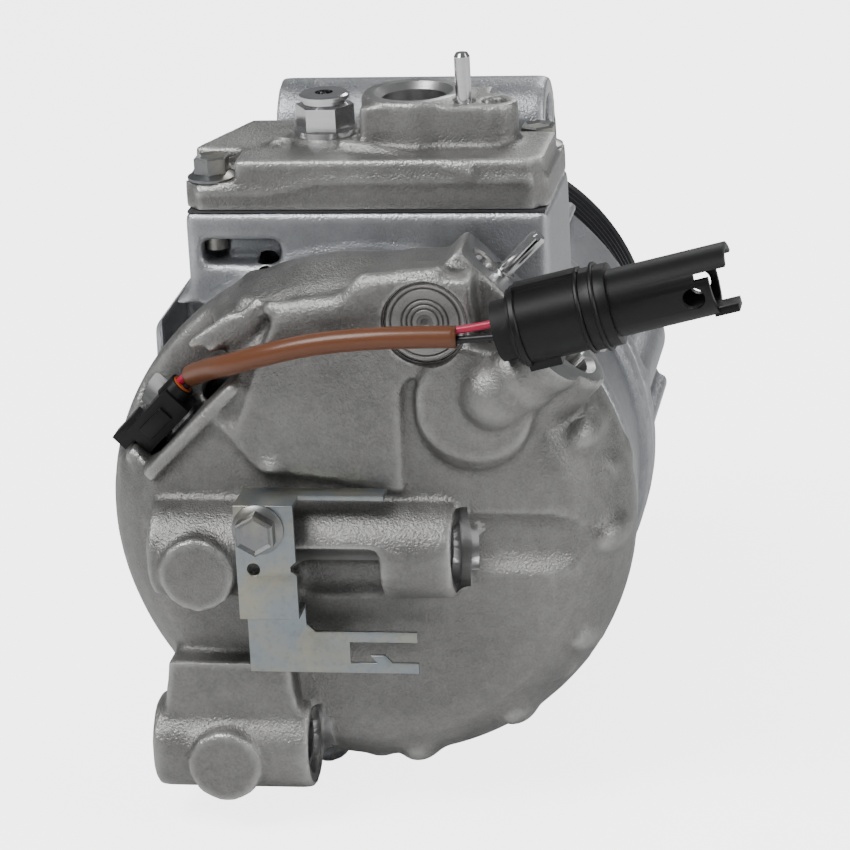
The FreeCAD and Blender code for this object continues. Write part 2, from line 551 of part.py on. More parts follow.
def makePlates():
    layers = [("suction_reed", "blockRear", "reedThickness", 1.4, "flangeRadius - 2"),
              ("valve_plate", "plateFront", "plateThickness", 1.4, "flangeRadius - 1"),
              ("discharge_reed", "plateRear", "reedThickness", 1.4, "26"),
              ("rear_gasket", "gasketFront", "gasketThickness", 0, "headRadius - 1.5")]
    for name, front, thickness, port, radius in layers:
        label = name.replace("_", " ").title().replace(" ", "")
        disc = rod(label + "Disc", radius, thickness, (0, f"{front} - {thickness}", 0))
        tools = []
        if name == "rear_gasket":
            tools.append(rod(label + "Room", "27", "3", (0, f"{front} - 2", 0)))
            spokes = [block(f"{label}Spoke{step}", ("-2", f"{front} - 3", "30"), ("2", f"{front} + 2", "53"),
                            FreeCAD.Rotation(Y, 360 / PISTONS * (step + 0.5))) for step in range(PISTONS)]
            ringRoom = cut(label + "Ring", rod(label + "RingOuter", "51", "3", (0, f"{front} - 2", 0)),
                           rod(label + "RingInner", "32", "5", (0, f"{front} - 3", 0)), *spokes)
            tools.append(ringRoom)
        for step in range(PISTONS):
            x, z = polar("boltPitch", step, "pistonCount", BOLT_OFFSET)
            if name != "discharge_reed":
                tools.append(rod(f"{label}Bolt{step}", "boltRadius + boltClearance", "5",
                                 (x, f"{front} - 4", z)))
            if name in ("valve_plate", "suction_reed"):
                x, z = polar("34", step, "pistonCount")
                tools.append(rod(f"{label}In{step}", "3.4", "5", (x, f"{front} - 4", z)))
                x, z = polar("22.8", step, "pistonCount")
                tools.append(rod(f"{label}Out{step}", "2.6", "5", (x, f"{front} - 4", z)))
        if name == "discharge_reed":
            for step in range(PISTONS):
                x, z = polar("13", step, "pistonCount", BOLT_OFFSET)
                tools.append(rod(f"{label}Slot{step}", "2.2", "5", (x, f"{front} - 4", z)))
        node(name, cut(label, disc, *tools))
    node("reed_retainer", lathe("ReedRetainer", [
        ("0", "plateRear - reedThickness"), ("10", "plateRear - reedThickness"),
        ("24", "plateRear - reedThickness - 1.6"), ("24", "plateRear - reedThickness - 3"),
        ("9", "plateRear - reedThickness - 1.6"), ("0", "plateRear - reedThickness - 1.6"),
    ]))


def makeThroughBolts():
    pieces = []
    for step in range(PISTONS):
        x, z = polar("boltPitch", step, "pistonCount", BOLT_OFFSET)
        shank = rod(f"throughShank{step}", "boltRadius", "-boltSeat - boltEnd", (x, "boltEnd", z))
        head = hexRod(f"throughHex{step}", "boltHead - 0.7", "boltHeadHeight", (x, "-boltSeat", z))
        washer = rod(f"throughFlange{step}", "boltHead + 0.5", "1.2", (x, "-boltSeat", z))
        pieces.append(join(f"throughBolt{step}", shank, head, washer))
    node("through_bolts", group("throughBolts", pieces))


def makeCoverBolts():
    pieces = []
    for index, (x, y) in enumerate(coverBoltPlaces()):
        seat = "flangeTop - 0.6"
        shank = rod(f"coverShank{index}", "boltRadius", f"{seat} - padHeight + 11", (x, y, "padHeight - 11"), "Z")
        washer = rod(f"coverFlange{index}", "6.2", "1.2", (x, y, seat), "Z")
        head = hexRod(f"coverHex{index}", "4", "6", (x, y, seat), "Z")
        pieces.append(join(f"coverBolt{index}", shank, washer, head))
    node("cover_bolts", group("coverBolts", pieces))


# ---------------------------------------------------------------- shaft train


def needleBearing(name, front):
    """A drawn ring and its rollers, from the front face backwards."""
    inside = "shaftRadius + 2 * needleRadius + shaftRunning"
    node(name + "_ring", lathe(name + "Ring", [
        (inside + " + shaftRunning", front), (inside + " + needleRing - shaftRunning", front),
        (inside + " + needleRing - shaftRunning", f"{front} - needleLength"),
        (inside + " + shaftRunning", f"{front} - needleLength"),
    ]))
    count = 18
    rollers = []
    for step in range(count):
        x, z = polar("shaftRadius + needleRadius + shaftRunning", step, count)
        rollers.append(rod(f"{name}Roller{step}", "needleRadius", "needleLength - 1",
                           (x, f"{front} - needleLength + 0.5", z)))
    node(name + "_rollers", group(name + "Rollers", rollers))


def makeShaftTrain():
    shaft = lathe("shaftTurned", [
        ("0", "20"), ("4", "20"), ("4", "12"), ("shaftNose", "12"), ("shaftNose", "10.5"),
        ("shaftRadius", "9"), ("shaftRadius", "blockRear + 9"), ("0", "blockRear + 9"),
    ])
    node("drive_shaft", cut("driveShaft", shaft,
                            rod("oilHole", "1.5", "40", (0, "blockRear + 8", 0)),
                            rod("oilCross", "1.2", "30", ("-15", "plateY + 14", 0), "X")))
    needleBearing("front_bearing", "innerFront + needleLength + 1.5")
    needleBearing("rear_bearing", "blockRear + 21")

    node("shaft_seal", lathe("shaftSeal", [
        ("shaftRadius + 0.06", "-3"), ("shaftRadius + 1", "-4.5"), ("13.4", "-4.5"), ("13.4", "2"), ("12", "2"),
        ("12", "-3"), ("shaftRadius + 2", "-3"), ("shaftRadius + 1.4", "0"), ("shaftRadius + 0.06", "0"),
    ]))
    rollers = []
    count = 24
    for step in range(count):
        turn = FreeCAD.Rotation(Y, step * 360 / count)
        out = turn.multVec(Z)
        rollers.append(rod(f"thrustRoller{step}", "thrustGap / 2 - 0.05", "8",
                           turned(("0", "innerFront - thrustGap / 2", "16"), turn),
                           (out.x, out.y, out.z)))
    node("thrust_rollers", group("thrustRollers", rollers))

    boss = lathe("lugPlateTurned", [
        ("shaftRadius", "lugPlateFront"), ("lugPlateRadius - 4", "lugPlateFront"),
        ("lugPlateRadius", "lugPlateFront - 3"), ("lugPlateRadius", "lugPlateRear"),
        ("20", "lugPlateRear"), ("14", "lugPlateRear - 4"), ("shaftRadius", "lugPlateRear - 4"),
    ])
    arms = []
    for side, name in ((-1, "Left"), (1, "Right")):
        low, high = sorted((f"{side} * armHalfGap", f"{side} * (armHalfGap + armThickness)"), key=number)
        arms.append(block(f"lugArm{name}", (low, "plateY + 8", "hingeHeight - 6"),
                          (high, "lugPlateRear + 1", "hingeHeight + 6")))
    hole = rod("lugArmHole", "hingeRadius + 0.05", "60", ("-30", "plateY + 12", "hingeHeight"), "X")
    node("lug_plate", cut("lugPlate", join("lugPlateSolid", boss, *arms), hole))
    node("hinge_pin", rod("hingePin", "hingeRadius", "2 * (armHalfGap + armThickness)",
                          ("-armHalfGap - armThickness", "plateY + 12", "hingeHeight"), "X"))

    disc = lathe("swashTurned", [
        ("shaftRadius + 0.05", "plateY + 9"), ("14", "plateY + 9"), ("16", "plateY + plateHalf"),
        ("plateRadius", "plateY + plateHalf"), ("plateRadius", "plateY - plateHalf"),
        ("15", "plateY - plateHalf"), ("13", "plateY - 9"), ("shaftRadius + 0.05", "plateY - 9"),
    ])
    arm = block("swashArm", ("-armHalfGap + 0.1", "plateY", "hingeHeight - 5.5"),
                ("armHalfGap - 0.1", "plateY + 17", "hingeHeight + 5.5"))
    node("swash_plate", cut("swashPlate", join("swashSolid", disc, arm),
                            rod("swashArmHole", "hingeRadius + 0.05", "60",
                                ("-30", "plateY + 12", "hingeHeight"), "X")))
    node("destroke_spring", coil("destrokeSpring", "11", "springWire / 2", "lugPlateRear - 5.25",
                                 "plateY + 10.25", 4))


def coil(name, radius, wire, start, end, turns, at=(0, 0), along="Y"):
    """A round-wire coil spring between two stations on an axis, swept along its helix."""
    first, last = number(start), number(end)
    pitch = abs(last - first) / turns
    helix = Part.makeHelix(pitch, abs(last - first), number(radius))
    section = Part.Wire(Part.Circle(FreeCAD.Vector(number(radius), 0, 0), Y, number(wire)).toShape())
    swept = Part.Wire(helix).makePipeShell([section], True, True)
    obj = doc.addObject("Part::Feature", name)
    obj.Shape = swept
    lowest = min(first, last)
    if along == "Y":
        obj.Placement = FreeCAD.Placement(FreeCAD.Vector(at[0], lowest, at[1]), FreeCAD.Rotation(Z, Y))
    else:
        obj.Placement = FreeCAD.Placement(FreeCAD.Vector(at[0], at[1], lowest), FreeCAD.Rotation())
    return obj


def makePistons():
    pistons, shoes = [], []
    pocket = "plateHalf + shoeRunning"
    for step in range(PISTONS):
        x, z = polar("pistonPitch", step, "pistonCount")
        turn = FreeCAD.Rotation(Y, 360 / PISTONS * step)
        head = rod(f"pistonHead{step}", "pistonRadius", "pistonHead", (x, "blockRear + 1", z))
        skirt = rod(f"pistonSkirt{step}", "pistonRadius - 0.2", "plateY + 12.5 - blockRear - pistonHead",
                    (x, "blockRear + pistonHead", z))
        gap = block(f"pistonGap{step}", ("-20", f"plateY - {pocket} - 1.4", "0"),
                    ("20", f"plateY + {pocket} + 1.4", "plateRadius + 1"), turn)
        bore = rod(f"pistonHollow{step}", "pistonRadius - 4", "pistonHead - 8", (x, "blockRear + 6", z))
        sockets = []
        for side, name in ((1, "Front"), (-1, "Rear")):
            centre = f"plateY + {side} * ({pocket} - 0.4)"
            sphere = ball(f"shoeBall{name}{step}", "shoeRadius", (x, centre, z))
            low, high = sorted((f"plateY + {side} * ({pocket})", f"plateY + {side} * ({pocket} + shoeRadius)"),
                               key=number)
            keep = rod(f"shoeKeep{name}{step}", "shoeRadius + 1", f"({high}) - ({low})", (x, low, z))
            shoes.append(common(f"shoe{name}{step}", sphere, keep))
            sockets.append(ball(f"shoeSocket{name}{step}", "shoeRadius + shoeRunning", (x, centre, z)))
        bridge = common(f"pistonBridge{step}", skirt,
                        rod(f"pistonLimit{step}", "crankcaseRadius - 0.6", "90", (0, "blockRear", 0)))
        inner = rod(f"pistonInnerLimit{step}", "shaftRadius + 24", "70", (0, "plateY - 13", 0))
        pistons.append(cut(f"piston{step}", join(f"pistonSolid{step}", head, bridge), gap, bore, inner,
                           *sockets))
    node("pistons", group("pistons", pistons))
    node("shoes", group("shoes", shoes))


# ---------------------------------------------------------------- pulley


def makePulley():
    half = "pulleyWidth / 2"
    outline = [("pulleyRadius - grooveDepth - rimWall", f"-({half})"), ("pulleyRadius", f"-({half})")]
    count = int(SIZES["grooveCount"])
    for index in range(count):
        middle = f"({index} - {(count - 1) / 2}) * groovePitch"
        outline.append(("pulleyRadius - 0.4", f"{middle} - groovePitch / 2 + 0.25"))
        outline.append(("pulleyRadius - grooveDepth", f"{middle} - 0.3"))
        outline.append(("pulleyRadius - grooveDepth", f"{middle} + 0.3"))
        outline.append(("pulleyRadius - 0.4", f"{middle} + groovePitch / 2 - 0.25"))
    outline += [("pulleyRadius", half), ("pulleyRadius - grooveDepth - rimWall", half)]
    rim = lathe("pulleyRim", outline)
    web = lathe("pulleyWeb", [
        ("bearingOuter", "-10.5"), ("bearingOuter + 4.5", "-10.5"), ("bearingOuter + 4.5", "-3"),
        ("pulleyRadius - grooveDepth - rimWall + 0.5", "-4"), ("pulleyRadius - grooveDepth - rimWall + 0.5", "2.5"),
        ("bearingOuter + 4.5", "2.5"), ("bearingOuter + 4.5", "9"), ("bearingOuter", "9"),
    ])
    pegs = []
    for step in range(6):
        x, z = polar("(damperInner + damperOuter) / 2", step, 6)
        pegs.append(rod(f"pulleyPeg{step}", "damperPeg", "6", (x, "2", z)))
    node("pulley", join("pulleySolid", rim, web, *pegs))

    front, back = "-bearingBack + bearingWidth", "-bearingBack"
    middle = "(-bearingBack + bearingWidth / 2)"
    pitch = "(noseRadius + bearingOuter) / 2"
    rows = ("-4.3", "4.3")
    innerRing = lathe("bearingInner", [
        ("noseRadius", back), ("noseRadius + 3.6", back), ("noseRadius + 3.6", front), ("noseRadius", front),
    ])
    outerRing = lathe("bearingOuterRing", [
        ("bearingOuter - 3.6", f"{back} + 0.4"), ("bearingOuter", f"{back} + 0.4"),
        ("bearingOuter", f"{front} - 0.4"), ("bearingOuter - 3.6", f"{front} - 0.4"),
    ])
    for name, base in (("pulley_bearing_inner", innerRing), ("pulley_bearing_outer", outerRing)):
        races = [ring(f"{name}Race{row}", pitch, "ballRadius + 0.04", (0, f"{middle} + {station}", 0))
                 for row, station in enumerate(rows)]
        node(name, cut(name + "Cut", base, *races))
    cage = lathe("cageTurned", [
        (f"{pitch} - 1", f"{middle} - 7.6"), (f"{pitch} + 1", f"{middle} - 7.6"),
        (f"{pitch} + 1", f"{middle} + 7.6"), (f"{pitch} - 1", f"{middle} + 7.6"),
    ])
    balls, seats = [], []
    count = int(SIZES["ballCount"])
    for row, station in enumerate(rows):
        for step in range(count):
            x, z = polar(pitch, step + row / 2, "ballCount")
            balls.append(ball(f"bearingBall{row}x{step}", "ballRadius", (x, f"{middle} + {station}", z)))
            out = FreeCAD.Rotation(Y, (step + row / 2) * 360 / count)
            outward = out.multVec(Z)
            seats.append(rod(f"ballSeat{row}x{step}", "ballRadius + 0.1", "6",
                             turned(("0", f"{middle} + {station}", f"{pitch} - 3"), out),
                             (outward.x, outward.y, outward.z)))
    node("pulley_bearing_cage", cut("bearingCage", cage, *seats))
    node("pulley_bearing_balls", group("bearingBalls", balls))
    node("bearing_circlip", lathe("bearingCirclip", [
        ("noseRadius + 0.02", front), ("noseRadius + 2.2", front), ("noseRadius + 2.2", f"{front} + 1.2"),
        ("noseRadius + 0.02", f"{front} + 1.2"),
    ]))

    damper = lathe("damperTurned", [
        ("damperInner", "2.6"), ("damperOuter", "2.6"), ("damperOuter", "2.6 + damperDepth"),
        ("damperInner", "2.6 + damperDepth"),
    ])
    sockets = []
    for step in range(12):
        x, z = polar("(damperInner + damperOuter) / 2", step, 12)
        sockets.append(rod(f"damperSocket{step}", "damperPeg + 0.05", "5.6",
                           (x, "2.5" if step % 2 == 0 else "2.6 + damperDepth - 5.5", z)))
    node("damper_ring", cut("damperRing", damper, *sockets))
    face = "2.7 + damperDepth"
    hubPlate = lathe("hubTurned", [
        ("shaftNose + 0.02", "10.6"), ("11", "10.6"), ("14", face), ("hubRadius", face),
        ("hubRadius", f"{face} + 2.6"), ("16", f"{face} + 2.6"), ("12", "16"), ("shaftNose + 0.02", "16"),
    ])
    hubPegs = []
    for step in range(1, 12, 2):
        x, z = polar("(damperInner + damperOuter) / 2", step, 12)
        hubPegs.append(rod(f"hubPeg{step}", "damperPeg", "6", (x, f"{face} - 5.3", z)))
    holes = []
    for step in range(3):
        x, z = polar("24", step, 3, 30)
        holes.append(rod(f"hubHole{step}", "4.2", "20", (x, "5", z)))
    threads = rod("hubThroat", "shaftNose + 0.02", "30", (0, "0", 0))
    node("hub", cut("hub", join("hubSolid", hubPlate, *hubPegs), *holes, threads))
    node("hub_nut", cut("hubNut", join("hubNutSolid", hexRod("hubNutHex", "6.5", "6", (0, "16", 0)),
                                       rod("hubNutFlange", "8.6", "1.6", (0, "16", 0))),
                        rod("hubNutThread", "4.02", "20", (0, "10", 0))))


# ---------------------------------------------------------------- valves and fittings on the top cover


def makeReliefValve():
    at = ("-reliefLeft", "-reliefStation", 0)
    seat = "coverTop + 1.5"
    turned_ = lathe("reliefTurned", [
        ("1.6", "coverBase + 2.5"), ("4.9", "coverBase + 2.5"), ("4.9", seat), ("8", seat),
        ("8", f"{seat} + 1.4"), ("6.3", f"{seat} + 1.4"), ("6.3", "portTop - 3"), ("5.6", "portTop - 2.4"),
        ("5.6", "portTop - 1.4"), ("3.6", "portTop - 1.4"), ("3.6", "coverBase + 4.5"), ("1.6", "coverBase + 4.5"),
    ], at, "Z")
    flats = cut("reliefFlats", hexRod("reliefHexRod", "reliefHex", f"portTop - 4.4 - ({seat})",
                                      ("-reliefLeft", "-reliefStation", f"{seat} + 1.4"), "Z"),
                rod("reliefHexRoom", "6", "10", ("-reliefLeft", "-reliefStation", f"{seat} + 1"), "Z"))
    node("relief_valve_body", join("reliefBody", turned_, flats))
    node("relief_valve_cap", lathe("reliefCap", [
        ("2.3", "portTop - 1.4"), ("6.4", "portTop - 1.4"), ("6.4", "portTop - 0.4"), ("5.8", "portTop"),
        ("2.3", "portTop"),
    ], at, "Z"))
    node("relief_valve_poppet", lathe("reliefPoppet", [
        ("0", "coverBase + 4.6"), ("3.2", "coverBase + 4.6"), ("3.54", "coverBase + 5"),
        ("3.54", "coverBase + 8"), ("1.5", "coverBase + 8"), ("1.5", "coverBase + 12"), ("0", "coverBase + 12"),
    ], at, "Z"))
    node("relief_valve_spring", coil("reliefSpring", "2.6", "0.45", "coverBase + 8.5", "portTop - 1.9", 7,
                                     (number("-reliefLeft"), number("-reliefStation")), "Z"))


def makeCheckValve():
    at = ("portRight", "-portStation", 0)
    base = "coverBase + 3.5"
    node("check_valve_seat", lathe("checkSeat", [
        ("5", base), ("valveBoreRadius", base), ("valveBoreRadius", f"{base} + 2"), ("5", f"{base} + 2"),
    ], at, "Z"))
    node("check_valve_poppet", lathe("checkPoppet", [
        ("0", f"{base} + 2.05"), ("valveSeatRadius", f"{base} + 2.05"), ("valveSeatRadius", f"{base} + 3.4"),
        ("2", f"{base} + 3.4"), ("2", f"{base} + 6.4"), ("0", f"{base} + 6.4"),
    ], at, "Z"))
    node("check_valve_spring", coil("checkSpring", "3.2", "0.35", f"{base} + 3.8", f"{base} + 9.2", 4,
                                    (number("portRight"), number("-portStation")), "Z"))
    cageTop = lathe("checkCageTurned", [
        ("2.2", f"{base} + 9.6"), ("valveBoreRadius - 0.02", f"{base} + 9.6"),
        ("valveBoreRadius - 0.02", f"{base} + 11"),
        ("2.2", f"{base} + 11"),
    ], at, "Z")
    windows = []
    for step in range(6):
        turn = FreeCAD.Rotation(Z, step * 60)
        out = turn.multVec(X)
        windows.append(rod(f"checkWindow{step}", "1.4", "6",
                           (f"portRight + {out.x:.9f} * 5.6", f"-portStation + {out.y:.9f} * 5.6",
                            f"{base} + 8"), "Z"))
    node("check_valve_cage", cut("checkCage", cageTop, *windows))


def pin(name, label, at, along):
    """A ground locating pin with a rounded tip."""
    outline = [("0", "-pinDepth"), ("pinRadius + 0.1", "-pinDepth"), ("pinRadius + 0.1", "-0.2"),
               ("pinRadius", "-0.2"), ("pinRadius", "pinProud - 0.9"),
               ("pinRadius - 0.5", "pinProud"), ("0", "pinProud")]
    return node(label, lathe(name, outline, at, along))


def makePins():
    pin("topPin", "top_dowel_pin", ("portRight + 13.6", "-portStation - 6.5", "portTop - 1.4"), "Z")
    turn = rearPortTurn()
    out = turn.multVec(Z)
    pin("rearPin", "rear_dowel_pin",
        turned(("-rearPinSide", "-rearPortStation + 9.5", "rearPortFace"), turn), (out.x, out.y, out.z))


# ---------------------------------------------------------------- fittings on the rear head


def makeEndPlug():
    outline = [("0", "-7.4"), ("10.1", "-7.4"), ("10.1", "0"), ("8.6", "0"), ("8.2", "-0.5"), ("5.4", "-0.5"),
               ("5", "0"), ("1.4", "0"), ("0", "-1.2")]
    node("end_plug", lathe("endPlug", outline, ("19.6", "headRear - 1.4", "56.2"), (0, -1, 0)))


def makeSuctionValve():
    turn = rearPortTurn()
    out = turn.multVec(Z)
    along = (out.x, out.y, out.z)
    start = turned(("rearPortSide", "-rearPortStation", "rearPortFace - rearPortDepth"), turn)
    node("suction_valve_cup", lathe("suctionCup", [
        ("5.6", "0"), ("valveBoreRadius - 0.02", "0"), ("valveBoreRadius - 0.02", "10"), ("5.4", "10"), ("5", "9.4"),
        ("5", "8"), ("7.2", "8"), ("7.2", "1.2"), ("5.6", "1.2"),
    ], start, along))
    node("suction_valve_piston", lathe("suctionPiston", [
        ("0", "6.6"), ("6", "6.6"), ("6", "4.9"), ("7.14", "4.9"), ("7.14", "7.8"), ("0", "7.8"),
    ], start, along))


def makeControlValve():
    turn = slotTurn()
    out = slotOut()
    start = turned(("-valveSide", "-valveStation", "valveInner"), turn)
    node("control_valve_body", lathe("controlBody", [
        ("2.05", "0.2"), ("5", "0.2"), ("5", "4"), ("valveRadius - 0.1", "4"), ("valveRadius - 0.1", "6"),
        ("5.6", "6"), ("5.6", "8"), ("valveRadius - 0.1", "8"), ("valveRadius - 0.1", "18"), ("5.6", "18"),
        ("5.6", "20"), ("valveRadius - 0.1", "20"), ("valveRadius - 0.1", "28.6"), ("0", "28.6"), ("0", "22"),
        ("2.05", "22"),
    ], start, out))
    node("control_valve_plunger", lathe("controlPlunger", [
        ("0", "1.4"), ("1.2", "1.4"), ("2", "3"), ("2", "20.6"), ("0", "20.6"),
    ], start, out))
    rings = [ring(f"controlRing{index}", "6.55", "0.85",
                  turned(("-valveSide", "-valveStation", f"valveInner + {station}"), turn), out)
             for index, station in enumerate((7, 19))]
    node("control_valve_rings", group("controlRings", rings))


def makeConnector():
    """The connector lies along the slot, over the valve. Its own X runs up the chord and Z points outwards."""
    turn = slotTurn()
    along = turn.multVec(X)
    upChord = (along.x, along.y, along.z)
    low, high = "slotInner + 1.2", "slotInner + 9.2"
    shell = block("connectorShell", ("-slotLow + 0.6", "-slotBack - 9.5", low), ("-9", "-slotBack - 0.4", high),
                  turn)
    latch = block("connectorLatch", ("-slotLow - 3.4", "-slotBack - 8.5", "slotInner + 6"),
                  ("-slotLow + 5", "-slotBack - 1.4", f"{high} + 1.4"), turn)
    ridge = block("connectorRidge", ("-21", "-slotBack - 10.6", f"{low} + 2"), ("-13", "-slotBack - 9", f"{high} - 2"),
                  turn)
    mouthAt = turned(("-12", "-wireStation", "wireRadial"), turn)
    wellAt = turned(("-10.4", "-wireStation", "wireRadial"), turn)
    mouth = rod("connectorMouth", "3.4", "5.6", mouthAt, upChord)
    well = rod("connectorWell", "2.7", "5", wellAt, upChord)
    node("valve_connector", cut("connectorTrim", join("connectorSolid", shell, latch, ridge, mouth), well))
    wires = [rod(f"sealWire{name}", "wireRadius + 0.24", "8", turned(("-11", "-wireStation", f"wireRadial + {off}"),
                                                                    turn), upChord)
             for name, off in (("Red", 1.1), ("Black", -1.1))]
    node("connector_seal", cut("connectorSeal", rod("connectorSealRod", "2.68", "4.2", wellAt, upChord), *wires))


# ---------------------------------------------------------------- pigtail

# Routes, from the connector's seal to the plug, in millimetres: the sleeve, then the wire that lies above
# its middle line and the one that lies below it.
SLEEVE_ROUTE = [
    (-41.6, -143.9, 38.9), (-37.3, -148.8, 41.9), (-29.3, -157.4, 46.0), (-19.0, -161.2, 50.0),
    (-8.6, -162.3, 52.7), (2.4, -163.0, 54.3), (14.7, -163.2, 55.1), (28.4, -162.6, 55.0),
]
RED_ROUTE = [
    (-46.9, -141.5, 34.9), (-43.6, -142.2, 38.5), (-38.0, -148.4, 42.6), (-29.6, -157.4, 46.9),
    (-19.3, -161.2, 51.0), (-8.8, -162.3, 53.7), (2.3, -163.0, 55.3), (14.7, -163.2, 56.1),
    (28.4, -162.6, 56.2), (41.0, -162.6, 59.2),
]
BLACK_ROUTE = [
    (-45.6, -141.5, 33.4), (-42.3, -142.2, 37.0), (-36.9, -148.4, 40.9), (-28.9, -157.4, 45.0),
    (-18.7, -161.2, 49.0), (-8.4, -162.3, 51.7), (2.5, -163.0, 53.3), (14.7, -163.2, 54.1),
    (28.4, -162.6, 54.0), (41.6, -162.6, 55.4),
]


def tangentPath(points):
    """Straight runs joined by tangent arcs, each 0.45 of the shorter run over the tangent of half the turn."""
    spots = [FreeCAD.Vector(*p) for p in points]
    edges, radii = [], []
    start = spots[0]
    for index in range(1, len(spots) - 1):
        before, corner, after = spots[index - 1], spots[index], spots[index + 1]
        inward, onward = corner - before, after - corner
        reach = 0.45 * min(inward.Length, onward.Length)
        half = inward.getAngle(onward) / 2
        radii.append(reach / math.tan(half))
        inward.normalize()
        onward.normalize()
        first, last = corner - inward * reach, corner + onward * reach
        toward = onward - inward
        toward.normalize()
        middle = corner + toward * (radii[-1] / math.cos(half) - radii[-1])
        edges.append(Part.LineSegment(start, first).toShape())
        edges.append(Part.Arc(first, middle, last).toShape())
        start = last
    edges.append(Part.LineSegment(start, spots[-1]).toShape())
    return Part.Wire(edges), radii


def tube(name, points, radius, bore=0.0):
    """A plain or hollow round cord along a route."""
    path, radii = tangentPath(points)
    ahead = FreeCAD.Vector(*points[1]) - FreeCAD.Vector(*points[0])
    solids = []
    for size in (radius, bore):
        if size:
            section = Part.Wire(Part.Circle(FreeCAD.Vector(*points[0]), ahead, size).toShape())
            solids.append(path.makePipeShell([section], True, True))
    shape = solids[0] if len(solids) == 1 else solids[0].cut(solids[1])
    obj = doc.addObject("Part::Feature", name)
    obj.Shape = shape
    print(name, "length", round(path.Length, 1), "volume ratio",
          round(shape.Volume / (math.pi * (radius ** 2 - bore ** 2) * path.Length), 4),
          "radii", [round(r, 1) for r in radii])
    return obj


def makePigtail():
    sizes = SIZES
    node("loom_sleeve", tube("loomSleeve", SLEEVE_ROUTE, sizes["sleeveRadius"],
                             sizes["sleeveRadius"] - sizes["sleeveWall"]))
    node("wire_red", tube("wireRed", RED_ROUTE, sizes["wireRadius"]))
    node("wire_black", tube("wireBlack", BLACK_ROUTE, sizes["wireRadius"]))
    # the free plug: its X runs along the plug towards the mating end
    turn = FreeCAD.Rotation(Y, -sizes["plugTurn"])
    along = turn.multVec(X)
    ahead = (along.x, along.y, along.z)

    def spot(distance, side="0", up="0"):
        offset = turned((distance, side, up), turn)
        return tuple(f"{base} + {part}" for base, part in zip(("plugStartX", "plugStartY", "plugStartZ"), offset))

    def slab(name, low, high):
        obj = doc.addObject("Part::Box", name)
        for side, a, b in zip(("Length", "Width", "Height"), low, high):
            obj.setExpression(side, bound(f"({b}) - ({a})"))
        return place(obj, spot(*low), turn)

    rim = "plugRadius"
    solids = [
        rod("plugBody", rim, "plugBodyLength", spot("plugSeal"), ahead),
        rod("plugFlange", f"{rim} + 0.6", "6.4", spot("plugSeal + plugBodyLength - 0.2"), ahead),
        rod("plugMate", f"{rim} - 1.2", "plugMateLength", spot("plugSeal + plugBodyLength + 6"), ahead),
        slab("plugKeel", ("plugSeal + 1", "-3", f"-({rim}) - 1.4"), ("plugSeal + 9", "3", "0")),
        slab("plugRail", ("plugSeal + 2", "-2.4", "0"), ("plugSeal + plugBodyLength", "2.4", f"{rim} + 0.9")),
    ]
    mateEnd = "plugSeal + plugBodyLength + 6 + plugMateLength"
    tools = [
        rod("plugSocket", f"{rim} - 3", "plugMateLength - 4", spot("plugSeal + plugBodyLength + 10"), ahead),
        slab("plugSlot", (f"{mateEnd} - 8", "-20", "2.6"), (f"{mateEnd} + 1", "20", "4.2")),
        slab("plugTopTrim", (f"{mateEnd} - 4.6", "-20", "-9"), (f"{mateEnd} + 1", "20", "2.6")),
        rod("plugWindow", "2.7", "60", spot(f"{mateEnd} - 9", "-30", "-1.4"), (0, 1, 0)),
        rod("plugWell", "5.4", "8", spot("plugSeal - 0.5"), ahead),
    ]
    floor = slab("plugTongue", (f"{mateEnd} - 6", "-3.2", f"-({rim}) + 1.2"), (mateEnd, "3.2", f"-({rim}) + 3.2"))
    wires = [tube(f"{name}Bore", route, sizes["wireRadius"] + 0.03)
             for name, route in (("red", RED_ROUTE), ("black", BLACK_ROUTE))]
    node("plug_housing", cut("plugHousing", join("plugFull", cut("plugShell", join("plugSolid", *solids), *tools),
                                                 floor), *wires))
    collar = rod("plugCollar", f"{rim} - 2", "plugSeal", spot("0"), ahead)
    stem = rod("plugStem", "5.3", "5.5", spot("0"), ahead)
    node("plug_rear_seal", cut("plugRearSeal", join("plugSealSolid", collar, stem), *wires))


# ---------------------------------------------------------------- bracket and lug bushes


